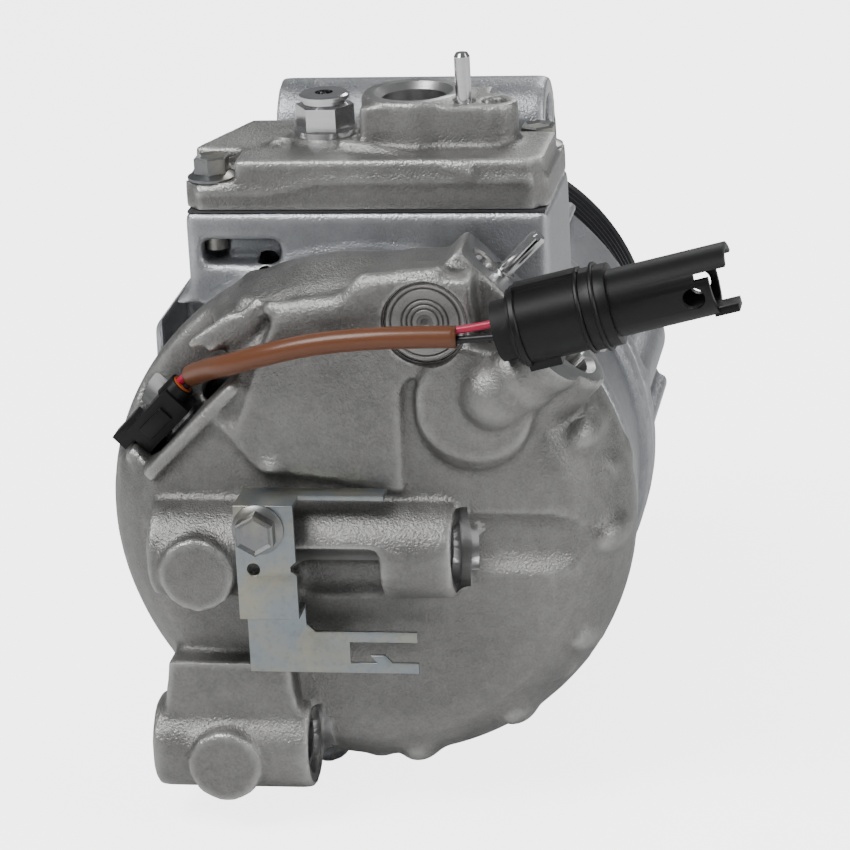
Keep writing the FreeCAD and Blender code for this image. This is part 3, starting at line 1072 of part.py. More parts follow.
def makeBracket():
    sheetY = "-bracketStation"
    top, foot = "14.6", "-13.9"
    main = plate("bracketMain", [
        ("-27.4", foot), ("-12.6", foot), ("-12.6", "-3.6"), ("-14", "-2.6"), ("-14", "-1.2"), ("-12.6", "0"),
        ("-12.6", top), ("-27.4", top),
    ], "bracketSheet", sheetY, "Y")
    lip = block("bracketLip", ("-27.4", f"{sheetY} - bracketSheet", f"{top} - bracketSheet"),
                ("-12.6", f"{sheetY} + 12", top))
    arm = block("bracketArm", ("-13", f"{sheetY} + 6", f"{top} - bracketSheet"), ("8.6", f"{sheetY} + 12", top))
    step = block("bracketStepSheet", ("-27.4", f"{sheetY} - bracketSheet", f"{foot} - bracketSheet"),
                 ("-12.6", f"{sheetY} + bracketStep", foot))
    back = f"{sheetY} + bracketStep"
    fork = plate("bracketFork", [
        ("-27.4", "-32.3"), ("15", "-32.3"), ("15", "-29.6"), ("8.4", "-29.6"), ("6.6", "-27.6"), ("3", "-27.6"),
        ("4.6", "-29.6"), ("-2", "-29.6"), ("-2", "-24.1"), ("15", "-24.1"), ("15", "-21.4"), ("-10.4", "-21.4"),
        ("-12.6", "-19.4"), ("-12.6", foot), ("-27.4", foot),
    ], "bracketSheet", back, "Y")
    tools = [
        rod("bracketBoltHole", "boltRadius + boltClearance", "10",
            ("-bracketBoltLeft", "-bracketStation - 5", "bracketBoltHeight")),
        rod("bracketPinHole", "1.6", "10", ("-23.2", "-bracketStation - 5", "-2")),
    ]
    node("bracket", cut("bracketCut", join("bracketSolid", main, lip, arm, step, fork), *tools))
    seat = "-bracketStation - bracketSheet"
    at = ("-bracketBoltLeft", seat, "bracketBoltHeight")
    shank = rod("bracketShank", "boltRadius", "bracketSheet + 11", at)
    flange = rod("bracketBoltFlange", "6.4", "1.2", at, (0, -1, 0))
    head = hexRod("bracketBoltHex", "4.6", "5.6", at, (0, -1, 0))
    node("bracket_bolt", join("bracketBolt", shank, flange, head))


def makeBushes():
    lugs = [("Front", "frontLugRight", "-frontLugStation", "frontLugHeight"),
            ("Middle", "middleLugRight", "-middleLugStation", "-middleLugDrop"),
            ("Bottom", "-bottomLugRight", "-bottomLugStation", "-bottomLugDrop")]
    bushes = []
    for name, right, y, z in lugs:
        start = (f"{right} - 2 - bushLength", y, z)
        bushes.append(cut(f"bush{name}", rod(f"bush{name}Outer", "lugBore", "bushLength", start, "X"),
                          rod(f"bush{name}Inner", "bushBore", "bushLength + 2",
                              (f"{right} - 3 - bushLength", y, z), "X")))
    node("lug_bushes", group("lugBushes", bushes))


# ---------------------------------------------------------------- writing


def checkDocument():
    doc.recompute()
    faults = [o.Name for o in doc.Objects if "Invalid" in o.State or "Error" in o.State]
    for obj in NODES:
        shape = obj.Shape
        if shape.isNull() or not shape.isValid() or not shape.Solids:
            faults.append(obj.Label)
    if faults:
        raise RuntimeError(f"these objects failed: {faults}")


def writeParts():
    os.makedirs("parts", exist_ok=True)
    for obj in NODES:
        obj.Shape.exportStep(os.path.join("parts", obj.Label + ".step"))
        print(f"{obj.Label}: {len(obj.Shape.Solids)} solids, {obj.Shape.Volume:.0f} mm3")
    print(len(NODES), "nodes")


fillSheet()
makeFrontHousing()
makeCylinderBlock()
makeTopCover()
makeRearHousing()
makePlates()
makeThroughBolts()
makeCoverBolts()
makeShaftTrain()
makePistons()
makePulley()
makeReliefValve()
makeCheckValve()
makePins()
makeEndPlug()
makeSuctionValve()
makeControlValve()
makeConnector()
makePigtail()
makeBracket()
makeBushes()
checkDocument()
writeParts()
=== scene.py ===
import json
import math

import bmesh
import bpy
from mathutils import Matrix, Vector

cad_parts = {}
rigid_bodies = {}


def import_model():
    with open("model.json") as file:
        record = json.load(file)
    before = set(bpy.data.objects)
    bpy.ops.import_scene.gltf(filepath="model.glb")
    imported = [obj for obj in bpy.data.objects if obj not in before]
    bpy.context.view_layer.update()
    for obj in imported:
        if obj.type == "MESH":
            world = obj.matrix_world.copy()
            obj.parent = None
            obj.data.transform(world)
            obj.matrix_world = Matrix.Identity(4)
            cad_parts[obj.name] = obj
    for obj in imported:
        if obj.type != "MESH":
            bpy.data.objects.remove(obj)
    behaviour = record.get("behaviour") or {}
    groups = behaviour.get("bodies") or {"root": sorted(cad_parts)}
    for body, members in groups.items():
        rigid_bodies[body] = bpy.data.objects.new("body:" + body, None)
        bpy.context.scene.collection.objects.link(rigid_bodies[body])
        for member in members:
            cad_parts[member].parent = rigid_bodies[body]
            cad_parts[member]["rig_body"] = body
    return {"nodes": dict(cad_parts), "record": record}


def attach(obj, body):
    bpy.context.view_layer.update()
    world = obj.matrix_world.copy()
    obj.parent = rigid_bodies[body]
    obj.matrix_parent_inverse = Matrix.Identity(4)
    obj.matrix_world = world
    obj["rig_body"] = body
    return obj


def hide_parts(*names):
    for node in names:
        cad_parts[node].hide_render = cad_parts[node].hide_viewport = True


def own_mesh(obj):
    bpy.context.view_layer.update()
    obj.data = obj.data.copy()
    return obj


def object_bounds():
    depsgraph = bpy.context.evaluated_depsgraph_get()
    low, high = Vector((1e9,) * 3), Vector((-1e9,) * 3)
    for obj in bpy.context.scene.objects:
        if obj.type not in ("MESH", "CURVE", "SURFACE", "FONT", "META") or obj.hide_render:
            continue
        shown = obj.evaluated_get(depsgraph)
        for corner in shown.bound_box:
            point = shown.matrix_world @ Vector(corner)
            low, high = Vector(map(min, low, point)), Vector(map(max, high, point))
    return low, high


for spare in list(bpy.data.objects):
    bpy.data.objects.remove(spare)
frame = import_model()
cadBounds = [list(corner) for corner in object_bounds()]
nodes = frame["nodes"]
slotOf = {part["node"]: part["material_slot"] for part in frame["record"]["subparts"]}
scene = bpy.context.scene
mm = 0.001
print("frame loaded,", len(nodes), "nodes")


def point(x, y, z):
    return Vector((x * mm, y * mm, z * mm))


# camera, behind the compressor and a little above it

cameraSet = {
    "at": (0.17816, -1.06179, 0.34702),
    "azimuth": 10.0, "elevation": 19.0, "roll": 3.0,
    "lens": 169.4,
}


def makeCamera():
    az, el, roll = (math.radians(cameraSet[k]) for k in ("azimuth", "elevation", "roll"))
    forward = Vector((-math.sin(az) * math.cos(el), math.cos(az) * math.cos(el), -math.sin(el)))
    right = Vector((math.cos(az), math.sin(az), 0))
    up = right.cross(forward)
    right, up = right * math.cos(roll) - up * math.sin(roll), up * math.cos(roll) + right * math.sin(roll)
    camera = bpy.data.objects.new("camera", bpy.data.cameras.new("camera"))
    camera.data.lens = cameraSet["lens"]
    camera.data.sensor_width = 36
    camera.data.clip_start = 0.05
    turn = Matrix((right, up, -forward)).transposed().to_4x4()
    camera.matrix_world = Matrix.Translation(cameraSet["at"]) @ turn
    scene.collection.objects.link(camera)
    scene.camera = camera


makeCamera()


# shader node groups

def newGroup(name, inputs, outputs):
    group = bpy.data.node_groups.new(name, "ShaderNodeTree")
    for label, kind, value in inputs:
        socket = group.interface.new_socket(label, in_out="INPUT", socket_type=kind)
        if value is not None:
            socket.default_value = value
    for label, kind in outputs:
        group.interface.new_socket(label, in_out="OUTPUT", socket_type=kind)
    return group, group.nodes.new("NodeGroupInput"), group.nodes.new("NodeGroupOutput")


def addNode(tree, kind, **settings):
    made = tree.nodes.new(kind)
    for key, value in settings.items():
        setattr(made, key, value)
    return made


def math2(tree, operation, a, b, clamp=False):
    made = addNode(tree, "ShaderNodeMath", operation=operation, use_clamp=clamp)
    for socket, value in zip(made.inputs, (a, b)):
        if isinstance(value, (int, float)):
            socket.default_value = value
        else:
            tree.links.new(value, socket)
    return made.outputs[0]


def noiseAt(tree, vector, scale, detail=2.0, rough=0.5, distortion=0.0):
    made = addNode(tree, "ShaderNodeTexNoise")
    tree.links.new(vector, made.inputs["Vector"])
    made.inputs["Scale"].default_value = scale
    made.inputs["Detail"].default_value = detail
    made.inputs["Roughness"].default_value = rough
    made.inputs["Distortion"].default_value = distortion
    return made.outputs["Fac"]


def remap(tree, value, low, high, toLow, toHigh):
    made = addNode(tree, "ShaderNodeMapRange")
    tree.links.new(value, made.inputs["Value"])
    for label, number in (("From Min", low), ("From Max", high), ("To Min", toLow), ("To Max", toHigh)):
        made.inputs[label].default_value = number
    return made.outputs["Result"]


def makeCastSkin():
    # blasted sand-cast skin: fine grain, pits and slow mottling
    group, given, out = newGroup(
        "castSkin", [("Vector", "NodeSocketVector", None), ("Grain", "NodeSocketFloat", 1.0)],
        [("Shade", "NodeSocketFloat"), ("Height", "NodeSocketFloat"), ("Rough", "NodeSocketFloat")])
    vector = given.outputs["Vector"]
    fine = noiseAt(group, vector, 1500, 3, 0.6)
    coarse = noiseAt(group, vector, 420, 2, 0.55)
    mottle = noiseAt(group, vector, 55, 3, 0.6, 0.4)
    slow = noiseAt(group, vector, 16, 2, 0.5)
    cells = addNode(group, "ShaderNodeTexVoronoi", feature="F1")
    group.links.new(vector, cells.inputs["Vector"])
    cells.inputs["Scale"].default_value = 900
    pits = remap(group, cells.outputs["Distance"], 0.0, 0.28, 1.0, 0.0)
    grain = math2(group, "ADD", math2(group, "MULTIPLY", fine, 0.65), math2(group, "MULTIPLY", coarse, 0.35))
    height = math2(group, "SUBTRACT", grain, math2(group, "MULTIPLY", pits, 0.22))
    group.links.new(math2(group, "MULTIPLY", height, given.outputs["Grain"]), out.inputs["Height"])
    tone = math2(group, "ADD", math2(group, "MULTIPLY", mottle, 0.55), math2(group, "MULTIPLY", slow, 0.45))
    tone = remap(group, tone, 0.3, 0.7, 0.0, 1.0)
    speck = remap(group, grain, 0.35, 0.68, -0.22, 0.22)
    group.links.new(math2(group, "ADD", tone, math2(group, "MULTIPLY", speck, given.outputs["Grain"])),
                    out.inputs["Shade"])
    group.links.new(remap(group, mottle, 0.3, 0.7, 0.0, 1.0), out.inputs["Rough"])
    return group


def makeEdgeLightShade():
    # painted highlights on convex edges and painted shade in hollows, from the surface's own curvature
    group, given, out = newGroup(
        "edgeLightShade", [("Vector", "NodeSocketVector", None), ("Reach", "NodeSocketFloat", 1.0)],
        [("PaintedHighlight", "NodeSocketFloat"), ("PaintedShade", "NodeSocketFloat")])
    geometry = addNode(group, "ShaderNodeNewGeometry")
    ragged = noiseAt(group, given.outputs["Vector"], 260, 3, 0.6)
    bend = math2(group, "ADD", geometry.outputs["Pointiness"],
                 math2(group, "MULTIPLY", math2(group, "SUBTRACT", ragged, 0.5), 0.02))
    bend = math2(group, "ADD", math2(group, "MULTIPLY", math2(group, "SUBTRACT", bend, 0.5),
                                     given.outputs["Reach"]), 0.5)
    # painted highlight mask: convex edges
    group.links.new(remap(group, bend, 0.506, 0.545, 0.0, 1.0), out.inputs["PaintedHighlight"])
    # painted shade mask: concave hollows
    group.links.new(remap(group, bend, 0.494, 0.455, 0.0, 1.0), out.inputs["PaintedShade"])
    return group


def makeToolMarks():
    # fine parallel tool marks on a cut face
    group, given, out = newGroup(
        "toolMarks", [("Vector", "NodeSocketVector", None), ("Pitch", "NodeSocketFloat", 1.0)],
        [("Height", "NodeSocketFloat"), ("Rough", "NodeSocketFloat")])
    mapping = addNode(group, "ShaderNodeMapping")
    mapping.inputs["Scale"].default_value = (0.06, 1.0, 1.0)
    group.links.new(given.outputs["Vector"], mapping.inputs["Vector"])
    lines = addNode(group, "ShaderNodeTexNoise")
    group.links.new(mapping.outputs["Vector"], lines.inputs["Vector"])
    group.links.new(math2(group, "MULTIPLY", given.outputs["Pitch"], 3200), lines.inputs["Scale"])
    lines.inputs["Detail"].default_value = 3
    haze = noiseAt(group, given.outputs["Vector"], 190, 3, 0.6)
    group.links.new(lines.outputs["Fac"], out.inputs["Height"])
    group.links.new(math2(group, "ADD", math2(group, "MULTIPLY", lines.outputs["Fac"], 0.4),
                          math2(group, "MULTIPLY", haze, 0.6)), out.inputs["Rough"])
    return group


def makeMouldSkin():
    # fine spark-eroded texture and slight sheen changes of moulded plastic and rubber
    group, given, out = newGroup(
        "mouldSkin", [("Vector", "NodeSocketVector", None), ("Size", "NodeSocketFloat", 1.0)],
        [("Height", "NodeSocketFloat"), ("Rough", "NodeSocketFloat"), ("Dust", "NodeSocketFloat")])
    fine = addNode(group, "ShaderNodeTexNoise")
    group.links.new(given.outputs["Vector"], fine.inputs["Vector"])
    group.links.new(math2(group, "MULTIPLY", given.outputs["Size"], 2600), fine.inputs["Scale"])
    fine.inputs["Detail"].default_value = 3
    wide = noiseAt(group, given.outputs["Vector"], 120, 4, 0.6)
    dust = noiseAt(group, given.outputs["Vector"], 700, 4, 0.7)
    group.links.new(fine.outputs["Fac"], out.inputs["Height"])
    group.links.new(wide, out.inputs["Rough"])
    group.links.new(remap(group, dust, 0.56, 0.74, 0.0, 1.0), out.inputs["Dust"])
    return group


castSkin = makeCastSkin()
edgeLightShade = makeEdgeLightShade()
toolMarks = makeToolMarks()
mouldSkin = makeMouldSkin()
print("shader groups built")


# materials

class Finish:
    # a material with its Principled shader and Object coordinates at hand
    def __init__(self, name, **values):
        self.material = bpy.data.materials.new(name)
        self.material.use_nodes = True
        self.tree = self.material.node_tree
        self.shader = self.tree.nodes["Principled BSDF"]
        for label, value in values.items():
            self.shader.inputs[label.replace("_", " ")].default_value = value
        self.coords = addNode(self.tree, "ShaderNodeTexCoord").outputs["Object"]

    def place(self, group, **values):
        made = addNode(self.tree, "ShaderNodeGroup", node_tree=group)
        self.tree.links.new(self.coords, made.inputs["Vector"])
        for label, value in values.items():
            made.inputs[label].default_value = value
        return made.outputs

    def ramp(self, value, stops):
        made = addNode(self.tree, "ShaderNodeValToRGB")
        elements = made.color_ramp.elements
        while len(elements) < len(stops):
            elements.new(0.5)
        for element, (spot, colour) in zip(elements, stops):
            element.position = spot
            element.color = (*colour, 1)
        self.tree.links.new(value, made.inputs["Fac"])
        return made.outputs["Color"]

    def mix(self, factor, a, b, blend="MIX"):
        made = addNode(self.tree, "ShaderNodeMix", data_type="RGBA", blend_type=blend)
        for socket, value in ((made.inputs["Factor"], factor), (made.inputs["A"], a), (made.inputs["B"], b)):
            self.feed(socket, value)
        return made.outputs["Result"]

    def feed(self, socket, value):
        if isinstance(value, bpy.types.NodeSocket):
            self.tree.links.new(value, socket)
        elif isinstance(value, tuple):
            socket.default_value = (*value, 1)
        else:
            socket.default_value = value

    def colour(self, value):
        self.feed(self.shader.inputs["Base Color"], value)

    def rough(self, value, low, high):
        self.tree.links.new(remap(self.tree, value, 0.0, 1.0, low, high), self.shader.inputs["Roughness"])

    def bump(self, height, distance, strength=1.0):
        made = addNode(self.tree, "ShaderNodeBump")
        made.inputs["Strength"].default_value = strength
        made.inputs["Distance"].default_value = distance
        self.tree.links.new(height, made.inputs["Height"])
        self.tree.links.new(made.outputs["Normal"], self.shader.inputs["Normal"])


def castFinish(name, dark, pale, highlightTone, roughLow, roughHigh, grain, metal=0.85):
    finish = Finish(name, Metallic=metal)
    skin = finish.place(castSkin, Grain=grain)
    # curvature masks for painted highlights on convex edges and painted shade in hollows
    edgeLight = finish.place(edgeLightShade, Reach=1.0)
    tone = finish.ramp(skin["Shade"], [(0.0, dark), (1.0, pale)])
    # painted shade: hollows darkened towards 45 % of the dark tone
    hollowShade = tuple(c * 0.45 for c in dark)
    tone = finish.mix(math2(finish.tree, "MULTIPLY", edgeLight["PaintedShade"], 0.55), tone, hollowShade)
    # painted highlight: convex edges lightened towards the highlight tone
    tone = finish.mix(math2(finish.tree, "MULTIPLY", edgeLight["PaintedHighlight"], 0.7), tone, highlightTone)
    finish.colour(tone)
    # the same edge mask also lowers the roughness there
    edgeGloss = math2(finish.tree, "MULTIPLY", edgeLight["PaintedHighlight"], 0.5)
    sheen = math2(finish.tree, "SUBTRACT", skin["Rough"], edgeGloss, True)
    finish.rough(sheen, roughLow, roughHigh)
    finish.bump(skin["Height"], 0.00035, 0.75)
    return finish.material


def cutFinish(name, tone, low, high, pitch=1.0, depth=0.00004, metal=1.0):
    finish = Finish(name, Metallic=metal)
    marks = finish.place(toolMarks, Pitch=pitch)
    finish.colour(finish.ramp(marks["Rough"], [(0.3, tuple(c * 0.82 for c in tone)), (0.7, tone)]))
    finish.rough(marks["Rough"], low, high)
    finish.bump(marks["Height"], depth, 0.6)
    return finish.material


def zincFinish(name, cool, warm, low, high):
    # plated sheet: drifting blue and straw tints
    finish = Finish(name, Metallic=1.0)
    marks = finish.place(toolMarks, Pitch=0.5)
    drift = noiseAt(finish.tree, finish.coords, 90, 3, 0.6, 0.8)
    stain = noiseAt(finish.tree, finish.coords, 520, 3, 0.7)
    between = tuple((a + b) / 2 for a, b in zip(cool, warm))
    tint = finish.ramp(drift, [(0.36, cool), (0.52, between), (0.66, warm)])
    stain = remap(finish.tree, stain, 0.5, 0.75, 0.0, 0.35)
    finish.colour(finish.mix(stain, tint, tuple(c * 0.55 for c in cool)))
    finish.rough(marks["Rough"], low, high)
    finish.bump(marks["Height"], 0.00003, 0.5)
    return finish.material


def mouldFinish(name, tone, low, high, size=1.0, depth=0.00003, dust=0.04, coat=0.0):
    finish = Finish(name, Metallic=0.0, Specular_IOR_Level=0.35, Coat_Weight=coat, Coat_Roughness=0.2)
    skin = finish.place(mouldSkin, Size=size)
    dusty = math2(finish.tree, "MULTIPLY", skin["Dust"], dust)
    finish.colour(finish.mix(dusty, tone, tuple(min(1.0, c + 0.35) for c in tone)))
    finish.rough(skin["Rough"], low, high)
    finish.bump(skin["Height"], depth, 0.5)
    return finish.material


finishes = {
    # in each cast finish the third colour is the painted highlight tone for convex edges
    "cast_aluminium": castFinish("castAluminium", (0.20, 0.197, 0.192), (0.33, 0.326, 0.318),
                                 (0.62, 0.615, 0.60), 0.36, 0.52, 1.5),
    "block_aluminium": castFinish("blockAluminium", (0.27, 0.28, 0.295), (0.42, 0.43, 0.45),
                                  (0.72, 0.73, 0.75), 0.36, 0.50, 1.1),
    "machined_aluminium": cutFinish("machinedAluminium", (0.60, 0.60, 0.595), 0.22, 0.40),
    "zinc": zincFinish("zincPlate", (0.33, 0.37, 0.40), (0.43, 0.42, 0.35), 0.30, 0.48),
    "steel": cutFinish("groundSteel", (0.56, 0.56, 0.57), 0.22, 0.38),
    "polished_steel": cutFinish("polishedSteel", (0.78, 0.78, 0.79), 0.10, 0.20, 0.6, 0.00001),
    "spring_steel": cutFinish("springSteel", (0.30, 0.30, 0.31), 0.28, 0.42),
    "black_steel": mouldFinish("blackCoat", (0.02, 0.02, 0.021), 0.25, 0.42, 0.6, 0.00002),
    "pulley_steel": mouldFinish("pulleyCoat", (0.018, 0.018, 0.02), 0.22, 0.40, 0.6, 0.00002, 0.02),
    "gasket": mouldFinish("gasketCoat", (0.07, 0.07, 0.074), 0.35, 0.5),
    "rubber": mouldFinish("blackRubber", (0.008, 0.008, 0.008), 0.5, 0.7, 0.7, 0.00005),
    "orange_seal": mouldFinish("orangeSilicone", (0.52, 0.12, 0.03), 0.35, 0.5, 0.8, 0.00002, 0.0),
    "black_plastic": mouldFinish("blackPlastic", (0.005, 0.005, 0.0055), 0.34, 0.5, 0.9, 0.00003, 0.012),
    "brown_sleeve": mouldFinish("brownSleeve", (0.17, 0.062, 0.028), 0.26, 0.42, 0.35, 0.00006, 0.02, 0.25),
    "red_wire": mouldFinish("redInsulation", (0.55, 0.02, 0.075), 0.28, 0.4, 0.6, 0.00002, 0.0, 0.2),
    "black_wire": mouldFinish("blackInsulation", (0.016, 0.016, 0.017), 0.28, 0.4, 0.6, 0.00002, 0.0, 0.2),
    "cage_plastic": mouldFinish("cageNylon", (0.13, 0.10, 0.06), 0.35, 0.5),
}
for name, obj in nodes.items():
    for holder in obj.material_slots:
        holder.material = finishes[slotOf[name]]
boltZinc = zincFinish("boltZinc", (0.27, 0.28, 0.29), (0.36, 0.35, 0.31), 0.28, 0.45)
print("materials built")


# helpers for pieces

def linked(name, mesh):
    obj = bpy.data.objects.new(name, mesh)
    scene.collection.objects.link(obj)
    return obj


def fromBmesh(name, bm, material=None, smoothAngle=35):
    mesh = bpy.data.meshes.new(name)
    bm.to_mesh(mesh)
    bm.free()
    if material:
        mesh.materials.append(material)
    shade(mesh, smoothAngle)
    return linked(name, mesh)


def shade(mesh, angle):
    mesh.shade_smooth()
    mesh.set_sharp_from_angle(angle=math.radians(angle))


def bake(obj):
    # replaces the object's mesh with what its modifiers make
    graph = bpy.context.evaluated_depsgraph_get()
    made = bpy.data.meshes.new_from_object(obj.evaluated_get(graph))
    obj.modifiers.clear()
    old, obj.data = obj.data, made
    bpy.data.meshes.remove(old)
    return obj


def mergedCopy(name, node, dissolve=False):
    bm = bmesh.new()
    bm.from_mesh(nodes[node].data)
    bmesh.ops.remove_doubles(bm, verts=bm.verts, dist=2e-6)
    if dissolve:
        bmesh.ops.dissolve_limit(bm, angle_limit=math.radians(1.0), verts=bm.verts, edges=bm.edges)
    mesh = bpy.data.meshes.new(name)
    bm.to_mesh(mesh)
    bm.free()
    return linked(name, mesh)


def standIn(obj, node, material=None):
    # the piece takes the node's place, body and finish
    body = nodes[node]["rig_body"]
    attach(obj, body)
    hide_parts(node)
    if material is None:
        material = finishes[slotOf[node]]
    if not obj.data.materials:
        obj.data.materials.append(material)
    elif obj.data.materials[0] is None:
        obj.data.materials[0] = material
    return obj


def towards(direction):
    return Vector((0, 0, 1)).rotation_difference(Vector(direction)).to_matrix().to_4x4()


def rodInto(bm, at, along, radius, length, segments=48, radiusEnd=None):
    # a closed cylinder or cone from a point, in millimetres
    made = bmesh.ops.create_cone(bm, cap_ends=True, segments=segments, radius1=radius * mm,
                                 radius2=(radius if radiusEnd is None else radiusEnd) * mm, depth=length * mm)
    turn = Matrix.Translation(point(*at)) @ towards(along) @ Matrix.Translation((0, 0, length * mm / 2))
    bmesh.ops.transform(bm, matrix=turn, verts=made["verts"])
    return made["verts"]


def boxInto(bm, low, high, turn=None):
    # a closed box between two corners, in axes turned by turn, in millimetres
    made = bmesh.ops.create_cube(bm, size=1)
    size = [(b - a) * mm for a, b in zip(low, high)]
    middle = [(a + b) / 2 * mm for a, b in zip(low, high)]
    place = Matrix.Translation(middle) @ Matrix.Diagonal((*size, 1))
    if turn is not None:
        place = turn.to_4x4() @ place
    bmesh.ops.transform(bm, matrix=place, verts=made["verts"])
    return made["verts"]


def ballInto(bm, at, radius, squash=(1, 1, 1), turn=None, detail=24):
    made = bmesh.ops.create_uvsphere(bm, u_segments=detail, v_segments=detail // 2, radius=radius * mm)
    place = Matrix.Translation(point(*at)) @ (turn.to_4x4() if turn is not None else Matrix())
    bmesh.ops.transform(bm, matrix=place @ Matrix.Diagonal((*squash, 1)), verts=made["verts"])
    return made["verts"]


def barInto(bm, start, end, radius, squash=1.0):
    # a rounded bar between two points, for ribs and rolled edges of a casting
    a, b = point(*start), point(*end)
    run = b - a
    made = bmesh.ops.create_cone(bm, cap_ends=True, segments=20, radius1=radius * mm, radius2=radius * mm,
                                 depth=run.length)
    bmesh.ops.transform(bm, matrix=Matrix.Translation((a + b) / 2) @ towards(run) @
                        Matrix.Diagonal((1, squash, 1, 1)), verts=made["verts"])
    ballInto(bm, start, radius, detail=16)
    ballInto(bm, end, radius, detail=16)


def spunInto(bm, outline, at, along, steps=64):
    # a closed turned shape from (radius, height) corners in millimetres, about an axis
    verts = [bm.verts.new((r * mm, 0, h * mm)) for r, h in outline]
    edges = [bm.edges.new((verts[i], verts[i + 1])) for i in range(len(verts) - 1)]
    spun = bmesh.ops.spin(bm, geom=verts + edges, axis=(0, 0, 1), cent=(0, 0, 0), angle=2 * math.pi,
                          steps=steps, use_merge=True)
    fresh = {v for g in spun["geom_last"] if isinstance(g, bmesh.types.BMVert) for v in (g,)} | set(verts)
    seen, wave = set(fresh), list(fresh)
    while wave:
        vert = wave.pop()
        for edge in vert.link_edges:
            other = edge.other_vert(vert)
            if other not in seen:
                seen.add(other)
                wave.append(other)
    bmesh.ops.transform(bm, matrix=Matrix.Translation(point(*at)) @ towards(along), verts=list(seen))
    bmesh.ops.remove_doubles(bm, verts=list(seen), dist=1e-7)


def closeUp(bm):
    bmesh.ops.remove_doubles(bm, verts=bm.verts, dist=1e-7)
    bmesh.ops.recalc_face_normals(bm, faces=bm.faces)


slotTurn = Matrix.Rotation(math.radians(-45), 3, "Y")   # X up the slot's chord, Z out to the upper left
portTurn = Matrix.Rotation(math.radians(45), 3, "Y")    # X down along the port face, Z out of the port


def inAxes(turn, x, y, z):
    spot = turn @ Vector((x, y, z))
    return (spot.x, spot.y, spot.z)


# castings: cast edges are rounded by remeshing, then the cut faces and bores are opened again, sharp

def castForm(name, node, voxel, passes, extra=None, cutters=()):
    obj = mergedCopy(name, node)
    if extra:
        bm = bmesh.new()
        bm.from_mesh(obj.data)
        extra(bm)
        bm.to_mesh(obj.data)
        bm.free()
    remesh = obj.modifiers.new("skin", "REMESH")
    remesh.mode = "VOXEL"
    remesh.voxel_size = voxel * mm
    bake(obj)
    bm = bmesh.new()
    bm.from_mesh(obj.data)
    for _ in range(passes):
        bmesh.ops.smooth_vert(bm, verts=bm.verts, factor=0.5, use_axis_x=True, use_axis_y=True,
                              use_axis_z=True)
    bm.to_mesh(obj.data)
    bm.free()
    obj.data.materials.clear()
    obj.data.materials.append(finishes[slotOf[node]])
    tools = []
    for index, (build, material) in enumerate(cutters):
        bm = bmesh.new()
        build(bm)
        closeUp(bm)
        tools.append(fromBmesh(f"{name}Cutter{index}", bm, material))
        cut = obj.modifiers.new(f"cut{index}", "BOOLEAN")
        cut.operation = "DIFFERENCE"
        cut.object = tools[-1]
        cut.solver = "MANIFOLD"
        cut.material_mode = "TRANSFER"
    bake(obj)
    for tool in tools:
        mesh = tool.data
        bpy.data.objects.remove(tool)
        bpy.data.meshes.remove(mesh)
    shade(obj.data, 38)
    standIn(obj, node)
    print(name, "made,", len(obj.data.polygons), "faces")
    return obj


cast = finishes["cast_aluminium"]
machined = finishes["machined_aluminium"]
portOut = inAxes(portTurn, 0, 0, 1)

wide = 90    # past the side of every casting
# radii that the castings share
bores = {"port": 8.25, "lug": 6.8, "lugFace": 10.6, "pin": 2.03, "thread": 3.0}

rearHead = {
    "voxel": 1.0, "passes": 7, "front": -126.6, "back": -154.0,
    "middleLug": {"y": -156, "z": -2, "face": 24.5, "chamfer": 22.9, "start": -49.5, "length": 79},
    "bottomLug": {"y": -153, "z": -55, "face": -14.5, "chamfer": -16.1, "start": -60, "length": 50},
    "webs": [((-39.2, 49.3), (-28.5, 56.4)), ((-34.4, 48.4), (-22.4, 59.6)), ((-28.6, 50.2), (-19, 59.2))],
    "lip": [(-19, 59.2), (-1, 61.4), (4.2, 66.4), (23, 68.2)],
    "barrel": [(0, 1.0), (9, 1.0), (18, 0.98), (27, 0.96)],    # step along it, share of its radius
    "bossAngles": (14, 40, 66, 92, 118, 144, 170), "bossCircle": 59.3,
    "endPlug": (19.6, 56.2),
}


def rearHeadExtra(bm):
    back = rearHead["back"]
    # crease that runs down the left field, and the low ribs beside it
    barInto(bm, (-34, back - 0.4, 32), (-23.4, back - 1.2, 19.4), 1.5)
    barInto(bm, (-23.4, back - 1.2, 19.4), (12, back - 1.0, 13.4), 1.2)
    ballInto(bm, (-20.3, back - 1.8, 19.6), 2.4, (1.7, 1, 1))
    # webs beside the slot, and the raised lip of the upper field
    for start, end in rearHead["webs"]:
        barInto(bm, (start[0], back + 3.2, start[1]), (end[0], back + 3.6, end[1]), 1.7)
    for a, b in zip(rearHead["lip"], rearHead["lip"][1:]):
        barInto(bm, (a[0], back + 0.6, a[1]), (b[0], back + 0.6, b[1]), 1.9)
    # the port's barrel on its round pad
    rodInto(bm, (31, back - 4.6, 36), (0, 1, 0), 14.6, 8, 64)
    for spot, reach in rearHead["barrel"]:
        ballInto(bm, (36.2 + spot * 0.707, back - 1.8, 38.6 + spot * 0.5), 9.2 * reach, detail=32)
    # bosses round the rim, where the through bolts come in
    for angle in rearHead["bossAngles"]:
        turn = math.radians(angle)
        x, z = rearHead["bossCircle"] * math.sin(turn), rearHead["bossCircle"] * math.cos(turn)
        ballInto(bm, (x, back + 18, z), 7.0, (1, 2.1, 1))


